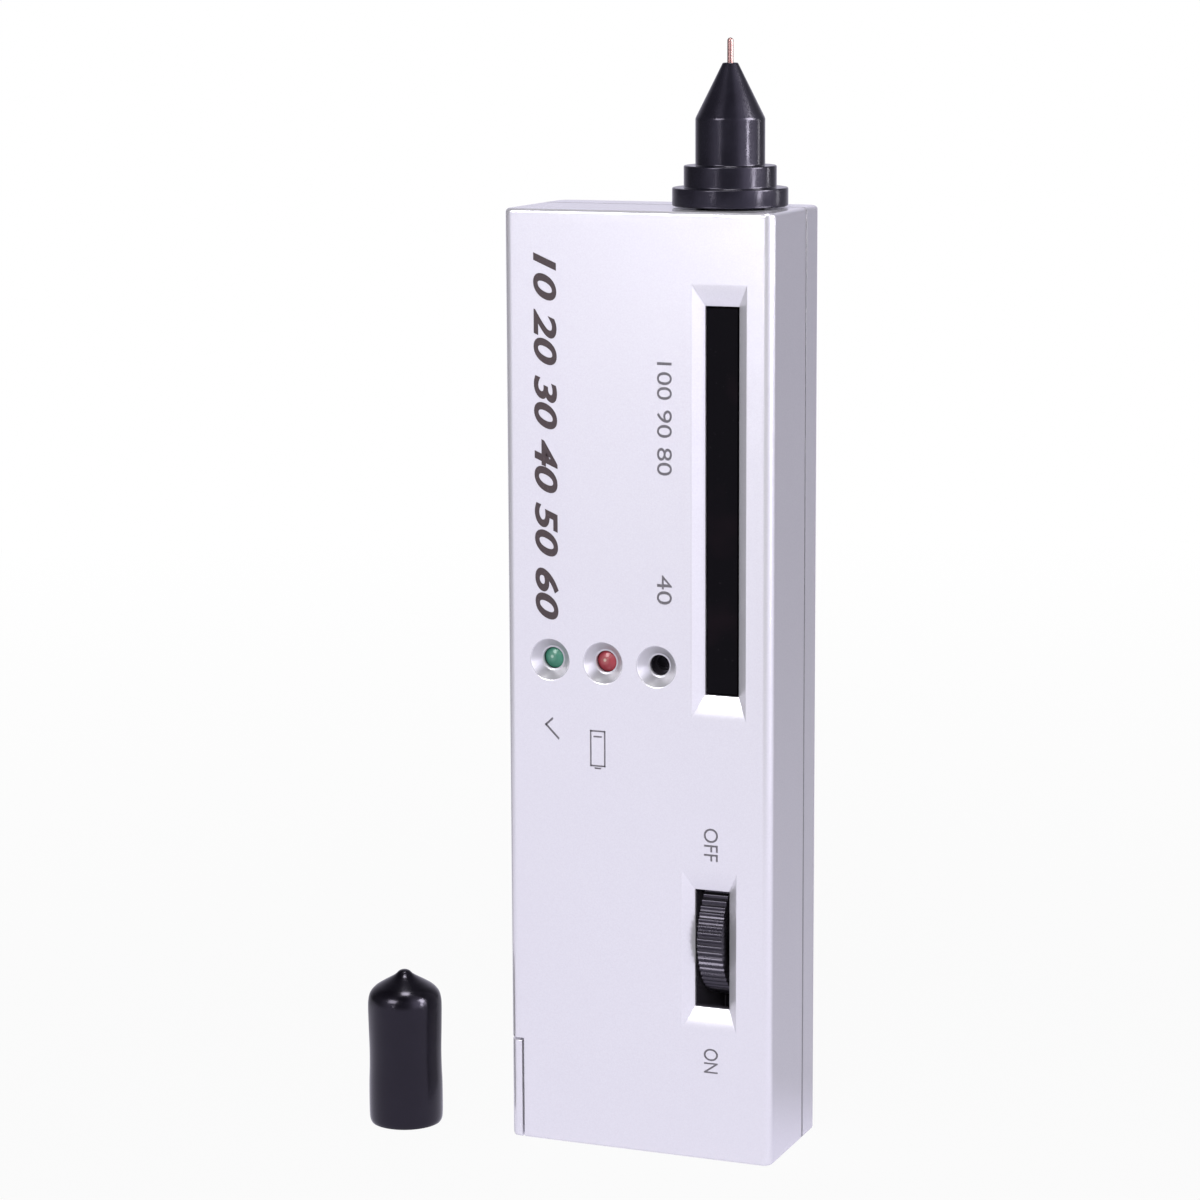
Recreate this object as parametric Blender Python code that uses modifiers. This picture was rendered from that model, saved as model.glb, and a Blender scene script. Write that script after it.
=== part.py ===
"""Handheld tester for gemstones, standing upright with its nose cap beside it.

Metres, +Z up. The origin is the centre of the casing's bottom end, the front face looks
along -Y, and +X is to the right as seen from the front.
"""
import math

import bmesh
import bpy
from mathutils import Euler, Vector

# Clearances and construction
FIT = 0.0003
OVERRUN = 0.002
BITE = 0.0002
MERGE_DISTANCE = 0.000002
SMOOTH_ANGLE = math.radians(32)
FINE_SEGMENTS = 32
ROUND_SEGMENTS = 24
LAMP_SEGMENTS = 20
SMALL_SEGMENTS = 16
SCREW_SEGMENTS = 10
DOME_STEPS = 6
CORNER_STEPS = 6

# Casing
WALL = 0.0017
RIB = 0.001
FRONT_EDGE_RADIUS = 0.0014
REAR_EDGE_RADIUS = 0.0026
TOP_EDGE_RADIUS = 0.0006
BOTTOM_EDGE_RADIUS = 0.0003
FRONT_SHELL_DEPTH = 0.0147
SEAM_GROOVE = 0.0004
LIP_THICKNESS = 0.0008
LIP_HEIGHT = 0.0015
LIP_ROOT = 0.0014

# Battery, its snap connector and its door
BATTERY_WIDTH = 0.0260
BATTERY_THICKNESS = 0.0170
BATTERY_LENGTH = 0.0464
BATTERY_EDGE_RADIUS = 0.0022
BATTERY_PLAY = 0.0008
TERMINAL_SPACING = 0.0127
TERMINAL_HEIGHT = 0.0024
STUD_RADIUS = 0.0027
SOCKET_WALL = 0.0010
SNAP_MARGIN = 0.00075
SNAP_DEPTH = 0.0115
SNAP_THICKNESS = 0.0015
SNAP_PLAY = 0.0006
SHELF_SET_BACK = 0.0105
DOOR_THICKNESS = 0.0019
DOOR_HEIGHT = 0.0153
DOOR_CORNER_RADIUS = 0.0011
GRIP_COUNT = 6
GRIP_PITCH = 0.0013
GRIP_WIDTH = 0.0006
GRIP_DEPTH = 0.0003
GRIP_FOOT = 0.0070

# On/off wheel, its potentiometer and their board
WHEEL_RADIUS = 0.00975
WHEEL_WIDTH = 0.0042
WHEEL_HEIGHT = 0.0333
WHEEL_SUNK = 0.00015
WHEEL_REAR_GAP = 0.00065
WHEEL_SIDE_GAP = 0.0007
WHEEL_RIB_COUNT = 60
WHEEL_RIB_DEPTH = 0.0003
WHEEL_RIM = 0.0018
WHEEL_HUB_RADIUS = 0.0034
WHEEL_DISH_DEPTH = 0.0010
WHEEL_WEB = 0.0008
WHEEL_HEAD_RECESS = 0.0012
ROTOR_RADIUS = 0.0030
ROTOR_STUB_RADIUS = 0.0020
POT_RADIUS = 0.0065
POT_THICKNESS = 0.0034
POT_STEP = 0.0008
POT_BOARD_THICKNESS = 0.0016
POT_BOARD_WIDTH = 0.0145
POT_BOARD_LENGTH = 0.0200
POT_BOARD_GUIDE = 0.0030

# Recesses in the front face
RECESS_DEPTH = 0.0015
RECESS_SIDE = 0.00165
RECESS_END = 0.0032
PAD_WALL = 0.0015
PAD_MARGIN = 0.0020
WHEEL_SLOT_GAP = 0.0006
WHEEL_SLOT_LENGTH = 0.0180
WHEEL_SLOT_DROP = 0.0011
WINDOW_INSET = 0.0082
WINDOW_WIDTH = 0.0052
PANE_SUNK = 0.0001
PANE_RIM = 0.0013
PANE_FLANGE = 0.0010

# Round dishes for the lamps and the sounder
DISH_INSET = 0.0070
DISH_TO_WINDOW = 0.0098
DISH_RADIUS = 0.00315
DISH_DEPTH = 0.0014
DISH_PAD_WALL = 0.0011
LENS_HOLE_RADIUS = 0.0021
SOUND_HOLE_RADIUS = 0.00155
LAMP_ROW_HEIGHT = 0.01275

# Lamps, sounder and level display
LED_RADIUS = 0.0025
LED_FLANGE_RADIUS = 0.0029
LED_FLANGE_THICKNESS = 0.0010
LED_LENGTH = 0.0061
LED_LEAD = 0.0005
LED_LEAD_SPACING = 0.00254
BUZZER_CLEARANCE = 0.0006
BUZZER_HOLE_RADIUS = 0.0012
BUZZER_HOLE_DEPTH = 0.0020
BUZZER_STEP = 0.0004
LEVEL_COUNT = 12
LEVEL_PITCH = 0.004775
LEVEL_LED_WIDTH = 0.0050
LEVEL_LED_HEIGHT = 0.0020
LEVEL_LED_LENGTH = 0.0064
LEVEL_LED_STANDOFF = 0.0010

# Main board and what is soldered to it
BOARD_THICKNESS = 0.0016
BOARD_GAP = 0.0008
BOARD_FOOT = 0.0088
BOARD_HEAD = 0.0002
BOARD_SCREW_INSET = 0.0025
BOARD_SCREW_FOOT = 0.0035
BOARD_SCREW_HEAD = 0.0040
CHIP_WIDTH = 0.0064
CHIP_THICKNESS = 0.0033
CHIP_STANDOFF = 0.0006
CHIP_PIN_PITCH = 0.00254
CHIP_PIN_WIDTH = 0.0005
CHIP_PIN_THICKNESS = 0.0003
CHIP_GAP = 0.0011
DRIVER_PINS = 9
AMP_PINS = 4
CAPACITOR_RADIUS = 0.00315
CAPACITOR_HEIGHT = 0.0072
CAPACITOR_GROOVE = 0.0003
CAPACITOR_WAIST_SHARE = 0.25
TRIMMER_SIZE = 0.0066
TRIMMER_HEIGHT = 0.0042
TRIMMER_DIAL_RADIUS = 0.0020
TRIMMER_DIAL_HEIGHT = 0.0006
TRIMMER_SLOT = 0.0007

# Screws and their posts
POST_RADIUS = 0.0028
BOSS_RADIUS = 0.0023
SCREW_SHANK_RADIUS = 0.0008
SCREW_HEAD_RADIUS = 0.0019
SCREW_HEAD_HEIGHT = 0.0012
SCREW_RECESS_WIDTH = 0.0005
SCREW_RECESS_SPAN = 0.0022
SCREW_RECESS_DEPTH = 0.0006
SCREW_CROWN_SHARE = 0.8
SCREW_POINT_SHARE = 0.33
CASE_SCREW_INSET = 0.0054
CASE_SCREW_LENGTH = 0.0110
CASE_SCREW_SUNK = 0.0045
CASE_SCREW_LOW_ROOM = 0.0014
CASE_SCREW_TOP_ROOM = 0.0011
BOARD_SCREW_LENGTH = 0.0065
WHEEL_SCREW_LENGTH = 0.0044
HOLE_SPARE = 0.0006

# Nose, from the casing's top end upwards
NOSE_INSET = 0.0105
LOWER_FLANGE_RADIUS = 0.0085
LOWER_FLANGE_HEIGHT = 0.0030
UPPER_FLANGE_RADIUS = 0.0068
UPPER_FLANGE_HEIGHT = 0.0032
BARREL_RADIUS = 0.0051
BARREL_HEIGHT = 0.0068
CONE_HEIGHT = 0.0080
CONE_TIP_RADIUS = 0.0011
NOSE_EDGE = 0.0002
NECK_RADIUS = 0.0050
NECK_DEPTH = 0.0047
NECK_BORE_RADIUS = 0.0033
GUIDE_BORE_RADIUS = 0.0019
GUIDE_LENGTH = 0.0042
NUT_FLATS = 0.0114
NUT_THICKNESS = 0.0030

# Spring-loaded probe inside the nose
TIP_RADIUS = 0.00045
TIP_CROWN_SHARE = 0.125
TIP_EXPOSED = 0.0036
TIP_BELOW_CONE = 0.0089
SHANK_RADIUS = 0.0013
SHANK_LENGTH = 0.0052
COLLAR_THICKNESS = 0.0010
TAIL_RADIUS = 0.0010
TAIL_LENGTH = 0.0131
HEATER_THICKNESS = 0.0011
HEATER_LENGTH = 0.0042
PLUG_THICKNESS = 0.0025
SPRING_TURNS = 7
SPRING_POINTS_PER_TURN = 9
SPRING_RADIUS = 0.0021
SPRING_WIRE_RADIUS = 0.00025

# Wires
POWER_WIRE_RADIUS = 0.0006
SIGNAL_WIRE_RADIUS = 0.0004
WIRE_DEPTH_SHARE = 5
WIRE_SIDE_SHARE = 3
WIRE_STEPS = 3

# Protective cap
CAP_RADIUS = 0.0057
CAP_WALL = 0.00055
CAP_HEIGHT = 0.0241
CAP_GAP = 0.0126
CAP_SET_BACK = 0.0012
CAP_MOUTH_EDGE = 0.0005
CAP_FLOOR = 0.0010

# Places along X: the battery, the wheel and its board fill the width between the walls
BODY_WIDTH = (DOOR_THICKNESS + FIT + BATTERY_WIDTH + FIT + RIB + WHEEL_SIDE_GAP + WHEEL_WIDTH
              + FIT + POT_THICKNESS + FIT + POT_BOARD_THICKNESS + FIT + WALL)
X_LEFT = -BODY_WIDTH / 2
X_RIGHT = BODY_WIDTH / 2
BATTERY_X0 = X_LEFT + DOOR_THICKNESS + FIT
BATTERY_X1 = BATTERY_X0 + BATTERY_WIDTH
BATTERY_X = (BATTERY_X0 + BATTERY_X1) / 2
SNAP_WIDTH = BATTERY_WIDTH - 2 * SNAP_MARGIN
BAY_X0 = BATTERY_X1 + FIT
BAY_X1 = BAY_X0 + RIB
WHEEL_X0 = BAY_X1 + WHEEL_SIDE_GAP
WHEEL_X1 = WHEEL_X0 + WHEEL_WIDTH
WHEEL_X = (WHEEL_X0 + WHEEL_X1) / 2
POT_X0 = WHEEL_X1 + FIT
POT_X1 = POT_X0 + POT_THICKNESS
POT_BOARD_X0 = POT_X1 + FIT
POT_BOARD_X1 = POT_BOARD_X0 + POT_BOARD_THICKNESS
WINDOW_X = X_RIGHT - WINDOW_INSET
NOSE_X = X_RIGHT - NOSE_INSET
DISH_PITCH = (WINDOW_X - DISH_TO_WINDOW - X_LEFT - DISH_INSET) / 2
DISH_XS = [X_LEFT + DISH_INSET + index * DISH_PITCH for index in range(3)]
BUZZER_RADIUS = DISH_PITCH - LED_FLANGE_RADIUS - BUZZER_CLEARANCE
CASE_SCREW_X = X_RIGHT - CASE_SCREW_INSET
CAP_X = X_LEFT - CAP_GAP - CAP_RADIUS

# Places along Y: the deeper of the wheel and the battery sets the depth
BODY_DEPTH = max(WHEEL_SUNK + 2 * WHEEL_RADIUS + WHEEL_REAR_GAP + WALL,
                 BATTERY_THICKNESS + 2 * (BATTERY_PLAY + WALL))
Y_FRONT = -BODY_DEPTH / 2
Y_REAR = BODY_DEPTH / 2
INNER_FRONT = Y_FRONT + WALL
INNER_REAR = Y_REAR - WALL
SEAM_Y = Y_FRONT + FRONT_SHELL_DEPTH
REAR_SHELL_Y = SEAM_Y + FIT
WHEEL_Y = Y_FRONT + WHEEL_SUNK + WHEEL_RADIUS
RECESS_Y = Y_FRONT + RECESS_DEPTH
PAD_Y = RECESS_Y + PAD_WALL
DISH_PAD_Y = Y_FRONT + DISH_DEPTH + DISH_PAD_WALL
PANE_BACK_Y = PAD_Y + FIT + PANE_FLANGE
LEVEL_LED_Y0 = PANE_BACK_Y + FIT
BOARD_Y0 = LEVEL_LED_Y0 + LEVEL_LED_LENGTH + LEVEL_LED_STANDOFF
BOARD_Y1 = BOARD_Y0 + BOARD_THICKNESS
CAP_Y = Y_FRONT + CAP_SET_BACK

# Places along Z, stacked from the bottom end up
BATTERY_Z0 = WALL + FIT
BATTERY_Z1 = BATTERY_Z0 + BATTERY_LENGTH
SNAP_Z0 = BATTERY_Z1 + TERMINAL_HEIGHT + FIT
SNAP_Z1 = SNAP_Z0 + SNAP_THICKNESS
SHELF_Z0 = SNAP_Z1 + SNAP_PLAY
SHELF_Z1 = SHELF_Z0 + RIB
LOW_SCREW_Z = SHELF_Z1 + CASE_SCREW_LOW_ROOM + POST_RADIUS
BOARD_Z0 = LOW_SCREW_Z + POST_RADIUS + BOARD_GAP
WINDOW_LENGTH = LEVEL_COUNT * LEVEL_PITCH
WINDOW_Z0 = BOARD_Z0 + BOARD_FOOT
WINDOW_Z1 = WINDOW_Z0 + WINDOW_LENGTH
BOARD_Z1 = WINDOW_Z1 + BOARD_HEAD
LAMP_Z = BOARD_Z0 + LAMP_ROW_HEIGHT
TOP_SCREW_Z = BOARD_Z1 + CASE_SCREW_TOP_ROOM + POST_RADIUS
NECK_Z = TOP_SCREW_Z + POST_RADIUS + FIT
BODY_HEIGHT = NECK_Z + NECK_DEPTH + WALL
SLOT_Z = WHEEL_HEIGHT - WHEEL_SLOT_DROP
UPPER_FLANGE_Z = BODY_HEIGHT + LOWER_FLANGE_HEIGHT
BARREL_Z = UPPER_FLANGE_Z + UPPER_FLANGE_HEIGHT
CONE_Z = BARREL_Z + BARREL_HEIGHT
NOSE_TOP = CONE_Z + CONE_HEIGHT
SHANK_Z1 = NOSE_TOP - TIP_BELOW_CONE
COLLAR_Z1 = SHANK_Z1 - SHANK_LENGTH
COLLAR_Z0 = COLLAR_Z1 - COLLAR_THICKNESS
PLUG_Z0 = NECK_Z + FIT
PLUG_Z1 = PLUG_Z0 + PLUG_THICKNESS

# Board outline: it stays inside the rear shell's lips
BOARD_X1 = X_RIGHT - WALL - FIT - LIP_THICKNESS - FIT
BOARD_SCREW_X = BOARD_X1 - BOARD_SCREW_INSET
CHIP_HALF = CHIP_WIDTH / 2 + CHIP_PIN_THICKNESS
SIDE_CHIP_X = CHIP_HALF + CHIP_GAP / 2 - BOARD_X1
DRIVER_X = SIDE_CHIP_X + 2 * CHIP_HALF + CHIP_GAP
TRIMMER_X = DRIVER_X + CHIP_HALF + CHIP_GAP + TRIMMER_SIZE / 2
MIDDLE_BOSS_X = DRIVER_X + CHIP_HALF + CHIP_GAP + BOSS_RADIUS
BOARD_SCREW_PLACES = [
    (-BOARD_SCREW_X, BOARD_Z0 + BOARD_SCREW_FOOT),
    (BOARD_SCREW_X, BOARD_Z0 + BOARD_SCREW_FOOT),
    (-BOARD_SCREW_X, BOARD_Z1 - BOARD_SCREW_HEAD),
    (MIDDLE_BOSS_X, BOARD_Z1 - BOARD_SCREW_HEAD),
]
CASE_SCREW_PLACES = [
    (-CASE_SCREW_X, LOW_SCREW_Z),
    (CASE_SCREW_X, LOW_SCREW_Z),
    (-CASE_SCREW_X, TOP_SCREW_Z),
    (CASE_SCREW_X, TOP_SCREW_Z),
]

SILVER = ("silver_white_plastic", (0.80, 0.79, 0.83), 0.42, 0.15)
BLACK_GLOSS = ("black_nose_plastic", (0.018, 0.017, 0.022), 0.30, 0.0)
BLACK_MATT = ("black_wheel_plastic", (0.03, 0.03, 0.033), 0.55, 0.0)
VINYL = ("black_vinyl", (0.014, 0.013, 0.018), 0.22, 0.0)
SMOKED = ("smoked_window", (0.006, 0.004, 0.005), 0.08, 0.0)
COPPER = ("copper", (0.80, 0.36, 0.24), 0.30, 1.0)
BRASS = ("brass", (0.72, 0.53, 0.24), 0.30, 1.0)
STEEL = ("bright_steel", (0.62, 0.62, 0.64), 0.28, 1.0)
BOARD_GREEN = ("board_green", (0.02, 0.16, 0.07), 0.40, 0.0)
GREEN_LENS = ("green_lens", (0.02, 0.42, 0.20), 0.12, 0.0)
RED_LENS = ("red_lens", (0.62, 0.02, 0.03), 0.12, 0.0)
CHIP_BLACK = ("chip_black", (0.02, 0.02, 0.02), 0.50, 0.0)
CAN_BLUE = ("can_blue", (0.03, 0.06, 0.22), 0.30, 0.0)
TRIMMER_BLUE = ("trimmer_blue", (0.03, 0.16, 0.50), 0.45, 0.0)
POT_GREY = ("pot_grey", (0.30, 0.30, 0.31), 0.45, 0.4)
NATURAL_NYLON = ("natural_nylon", (0.78, 0.75, 0.66), 0.50, 0.0)
CERAMIC = ("white_ceramic", (0.84, 0.82, 0.78), 0.45, 0.0)
BATTERY_SKIN = ("battery_skin", (0.10, 0.11, 0.13), 0.35, 0.3)
RED_WIRE = ("red_wire", (0.60, 0.03, 0.03), 0.40, 0.0)
BLACK_WIRE = ("black_wire", (0.02, 0.02, 0.02), 0.40, 0.0)
WHITE_WIRE = ("white_wire", (0.78, 0.78, 0.76), 0.40, 0.0)


def clear_scene():
    for old in list(bpy.data.objects):
        bpy.data.objects.remove(old, do_unlink=True)


def new_collection(name):
    collection = bpy.data.collections.new(name)
    bpy.context.scene.collection.children.link(collection)
    return collection


def material_of(finish):
    """Principled material for one (name, colour, roughness, metallic) finish."""
    name, colour, roughness, metallic = finish
    material = bpy.data.materials.get(name)
    if material is None:
        material = bpy.data.materials.new(name)
        material.use_nodes = True
        shader = material.node_tree.nodes["Principled BSDF"]
        shader.inputs["Base Color"].default_value = (*colour, 1.0)
        shader.inputs["Roughness"].default_value = roughness
        shader.inputs["Metallic"].default_value = metallic
        material.diffuse_color = (*colour, 1.0)
    return material


def add_object(name, data, place=(0, 0, 0)):
    thing = bpy.data.objects.new(name, data)
    thing.location = place
    guides.objects.link(thing)
    return thing


def mesh_from(name, bm):
    mesh = bpy.data.meshes.new(name)
    bm.to_mesh(mesh)
    bm.free()
    return mesh


def box(name, low, high):
    """Box between two corners, with its origin at its centre."""
    low = Vector(low)
    high = Vector(high)
    bm = bmesh.new()
    bmesh.ops.create_cube(bm, size=1)
    bmesh.ops.scale(bm, vec=high - low, verts=bm.verts)
    return add_object(name, mesh_from(name, bm), (low + high) / 2)


def cylinder(name, start, end, radius, segments=SMALL_SEGMENTS, end_radius=None):
    """Cylinder, or cone if end_radius is given, from start to end."""
    start = Vector(start)
    run = Vector(end) - start
    bm = bmesh.new()
    bmesh.ops.create_cone(bm, cap_ends=True, segments=segments, radius1=radius,
                          radius2=radius if end_radius is None else end_radius, depth=run.length)
    thing = add_object(name, mesh_from(name, bm), start + run / 2)
    thing.rotation_euler = run.to_track_quat("Z", "Y").to_euler()
    return thing


def turned(name, profile, place, segments=ROUND_SEGMENTS, axis="Z", ring=False):
    """Turned piece: (radius, height) points down its outer side, from top to bottom.

    The top points along axis; a ring's profile closes on itself.
    """
    bm = bmesh.new()
    points = [bm.verts.new((radius, 0, height)) for radius, height in profile]
    ends = points[1:] + points[:1] if ring else points[1:]
    for start, end in zip(points, ends):
        bm.edges.new((start, end))
    thing = add_object(name, mesh_from(name, bm), place)
    thing.rotation_euler = {"Z": Euler((0, 0, 0)),
                            "X": Euler((0, math.pi / 2, 0)), "-X": Euler((0, -math.pi / 2, 0)),
                            "Y": Euler((-math.pi / 2, 0, 0)), "-Y": Euler((math.pi / 2, 0, 0))}[axis]
    screw = thing.modifiers.new("turn", "SCREW")
    screw.angle = 2 * math.pi
    screw.steps = segments
    screw.render_steps = segments
    screw.use_merge_vertices = True
    screw.merge_threshold = MERGE_DISTANCE
    return thing


def flat_plate(name, outline, thickness, place, turn=(0, 0, 0)):
    """Flat outline given as (x, y) points, thickened both ways about its plane."""
    curve = bpy.data.curves.new(name, "CURVE")
    curve.dimensions = "2D"
    curve.fill_mode = "BOTH"
    curve.extrude = thickness / 2
    spline = curve.splines.new("POLY")
    spline.points.add(len(outline) - 1)
    for point, (x, y) in zip(spline.points, outline):
        point.co = (x, y, 0, 1)
    spline.use_cyclic_u = True
    guide = add_object(name + "_outline", curve)
    bpy.context.view_layer.update()
    mesh = bpy.data.meshes.new_from_object(guide.evaluated_get(bpy.context.evaluated_depsgraph_get()))
    bpy.data.objects.remove(guide)
    bm = bmesh.new()
    bm.from_mesh(mesh)
    bmesh.ops.remove_doubles(bm, verts=bm.verts, dist=MERGE_DISTANCE)
    bm.to_mesh(mesh)
    bm.free()
    thing = add_object(name, mesh, place)
    thing.rotation_euler = turn
    return thing


def combine(target, other, operation):
    """Boolean of target with a guide object, which stays in the cutters' collection."""
    modifier = target.modifiers.new(other.name, "BOOLEAN")
    modifier.operation = operation
    modifier.object = other
    other.hide_render = True
    other.display_type = "WIRE"


def cut(target, *cutters):
    for cutter in cutters:
        combine(target, cutter, "DIFFERENCE")


def join(target, *pieces):
    for piece in pieces:
        combine(target, piece, "UNION")


def evaluated_mesh(thing):
    bpy.context.view_layer.update()
    return bpy.data.meshes.new_from_object(thing.evaluated_get(bpy.context.evaluated_depsgraph_get()))


def finish(thing, finish_values, parent):
    """Apply the piece's modifiers, shade it, colour it and hang it on its parent empty."""
    if thing.type == "MESH":
        mesh = evaluated_mesh(thing)
        thing.modifiers.clear()
        thing.data = mesh
        mesh.name = thing.name
        mesh.shade_smooth()
        mesh.set_sharp_from_angle(angle=SMOOTH_ANGLE)
    thing.data.materials.clear()
    thing.data.materials.append(material_of(finish_values))
    guides.objects.unlink(thing)
    tester.objects.link(thing)
    thing.parent = parent
    thing.location = thing.location - parent.location
    return thing


def copy_of(original, name, place):
    """Another piece with the same mesh, at its own place."""
    twin = bpy.data.objects.new(name, original.data)
    twin.rotation_euler = original.rotation_euler
    twin.parent = original.parent
    twin.location = Vector(place) - original.parent.location
    tester.objects.link(twin)
    return twin


def empty(name, place):
    """Empty on a joint's axis, which the pieces that move with it hang on."""
    axis = bpy.data.objects.new(name, None)
    axis.location = place
    axis.empty_display_size = WALL
    tester.objects.link(axis)
    return axis


def smooth_route(points):
    """Points of a Catmull-Rom curve through a wire's own route points."""
    places = [Vector(point) for point in points]
    places = [2 * places[0] - places[1]] + places + [2 * places[-1] - places[-2]]
    route = []
    for before, start, end, after in zip(places, places[1:], places[2:], places[3:]):
        for step in range(WIRE_STEPS):
            t = step / WIRE_STEPS
            route.append((2 * start + (end - before) * t
                          + (2 * before - 5 * start + 4 * end - after) * t ** 2
                          + (3 * start - before - 3 * end + after) * t ** 3) / 2)
    return route + [places[-2]]


def tube(name, points, radius, resolution=2):
    """Round wire along a list of points, with closed ends."""
    curve = bpy.data.curves.new(name, "CURVE")
    curve.dimensions = "3D"
    curve.bevel_depth = radius
    curve.bevel_resolution = resolution
    curve.use_fill_caps = True
    spline = curve.splines.new("POLY")
    spline.points.add(len(points) - 1)
    for point, place in zip(spline.points, points):
        point.co = (*place, 1)
    return add_object(name, curve)


def bevel_edges(bm, chosen, radius, segments):
    bmesh.ops.bevel(bm, geom=chosen, offset=radius, offset_type="OFFSET", segments=segments,
                    profile=0.5, affect="EDGES", clamp_overlap=True)


def casing_blank(name):
    """Solid with the casing's outer form, before it is divided and hollowed."""
    bm = bmesh.new()
    bmesh.ops.create_cube(bm, size=1)
    bmesh.ops.scale(bm, vec=(BODY_WIDTH, BODY_DEPTH, BODY_HEIGHT), verts=bm.verts)
    upright = [edge for edge in bm.edges if abs(edge.verts[0].co.z - edge.verts[1].co.z) > WALL]
    front = [edge for edge in upright if edge.verts[0].co.y < 0]
    rear = [edge for edge in upright if edge.verts[0].co.y > 0]
    bevel_edges(bm, front, FRONT_EDGE_RADIUS, 4)
    bevel_edges(bm, rear, REAR_EDGE_RADIUS, 5)
    top = [edge for edge in bm.edges if min(vert.co.z for vert in edge.verts) > BODY_HEIGHT / 2 - BITE]
    bevel_edges(bm, top, TOP_EDGE_RADIUS, 3)
    bottom = [edge for edge in bm.edges if max(vert.co.z for vert in edge.verts) < BITE - BODY_HEIGHT / 2]
    bevel_edges(bm, bottom, BOTTOM_EDGE_RADIUS, 1)
    bmesh.ops.translate(bm, vec=(0, 0, BODY_HEIGHT / 2), verts=bm.verts)
    return add_object(name, mesh_from(name, bm))


def recess(name, x, z, half_width, half_length):
    """Cutter for a bevelled recess in the front face, with its floor at RECESS_Y."""
    reach = (RECESS_DEPTH + OVERRUN) / RECESS_DEPTH
    cutter = box(name, (x - half_width, Y_FRONT - OVERRUN, z - half_length),
                 (x + half_width, RECESS_Y, z + half_length))
    for vertex in cutter.data.vertices:
        if vertex.co.y < 0:
            vertex.co.x += math.copysign(RECESS_SIDE * reach, vertex.co.x)
            vertex.co.z += math.copysign(RECESS_END * reach, vertex.co.z)
    return cutter


def dish(name, x, hole_radius):
    """Cutters for one round dish in the front face and the hole in its floor."""
    slope = (DISH_RADIUS - hole_radius) / DISH_DEPTH
    cone = cylinder(name, (x, Y_FRONT - OVERRUN, LAMP_Z), (x, Y_FRONT + DISH_DEPTH, LAMP_Z),
                    DISH_RADIUS + slope * OVERRUN, ROUND_SEGMENTS, hole_radius)
    hole = cylinder(name + "_hole", (x, Y_FRONT, LAMP_Z), (x, DISH_PAD_Y + OVERRUN, LAMP_Z),
                    hole_radius, ROUND_SEGMENTS)
    return cone, hole


def seam_grooves(target):
    """Shallow V along the seam on the right, left, top and bottom."""
    seam = SEAM_Y + FIT / 2
    half = SEAM_GROOVE + FIT / 2
    diamond = [(half, 0), (0, half), (-half, 0), (0, -half)]
    run = BODY_HEIGHT + 2 * OVERRUN
    across = BODY_WIDTH + 2 * OVERRUN
    for side, x in (("right", X_RIGHT), ("left", X_LEFT)):
        cut(target, flat_plate(target.name + "_groove_" + side, diamond, run, (x, seam, BODY_HEIGHT / 2)))
    for side, z in (("top", BODY_HEIGHT), ("bottom", 0)):
        cut(target, flat_plate(target.name + "_groove_" + side, diamond, across, (0, seam, z),
                               (0, math.pi / 2, 0)))


def common_cuts(shell):
    """What both casing halves give way to: the inside, the door, the neck and the seam."""
    name = shell.name
    far_left = X_LEFT - OVERRUN
    far_front = Y_FRONT - OVERRUN
    far_rear = Y_REAR + OVERRUN
    door_edge = X_LEFT + DOOR_THICKNESS + FIT
    ceiling = BODY_HEIGHT - WALL
    cut(shell,
        box(name + "_inside", (X_LEFT + WALL, INNER_FRONT, WALL), (X_RIGHT - WALL, INNER_REAR, ceiling)),
        box(name + "_door_gap", (far_left, far_front, -OVERRUN), (door_edge, far_rear, DOOR_HEIGHT + FIT)),
        box(name + "_battery_way", (far_left, INNER_FRONT, -OVERRUN), (BAY_X0, INNER_REAR, WALL + OVERRUN)),
        cylinder(name + "_neck_hole", (NOSE_X, 0, ceiling - OVERRUN), (NOSE_X, 0, BODY_HEIGHT + OVERRUN),
                 NECK_RADIUS + FIT, ROUND_SEGMENTS))


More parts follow.
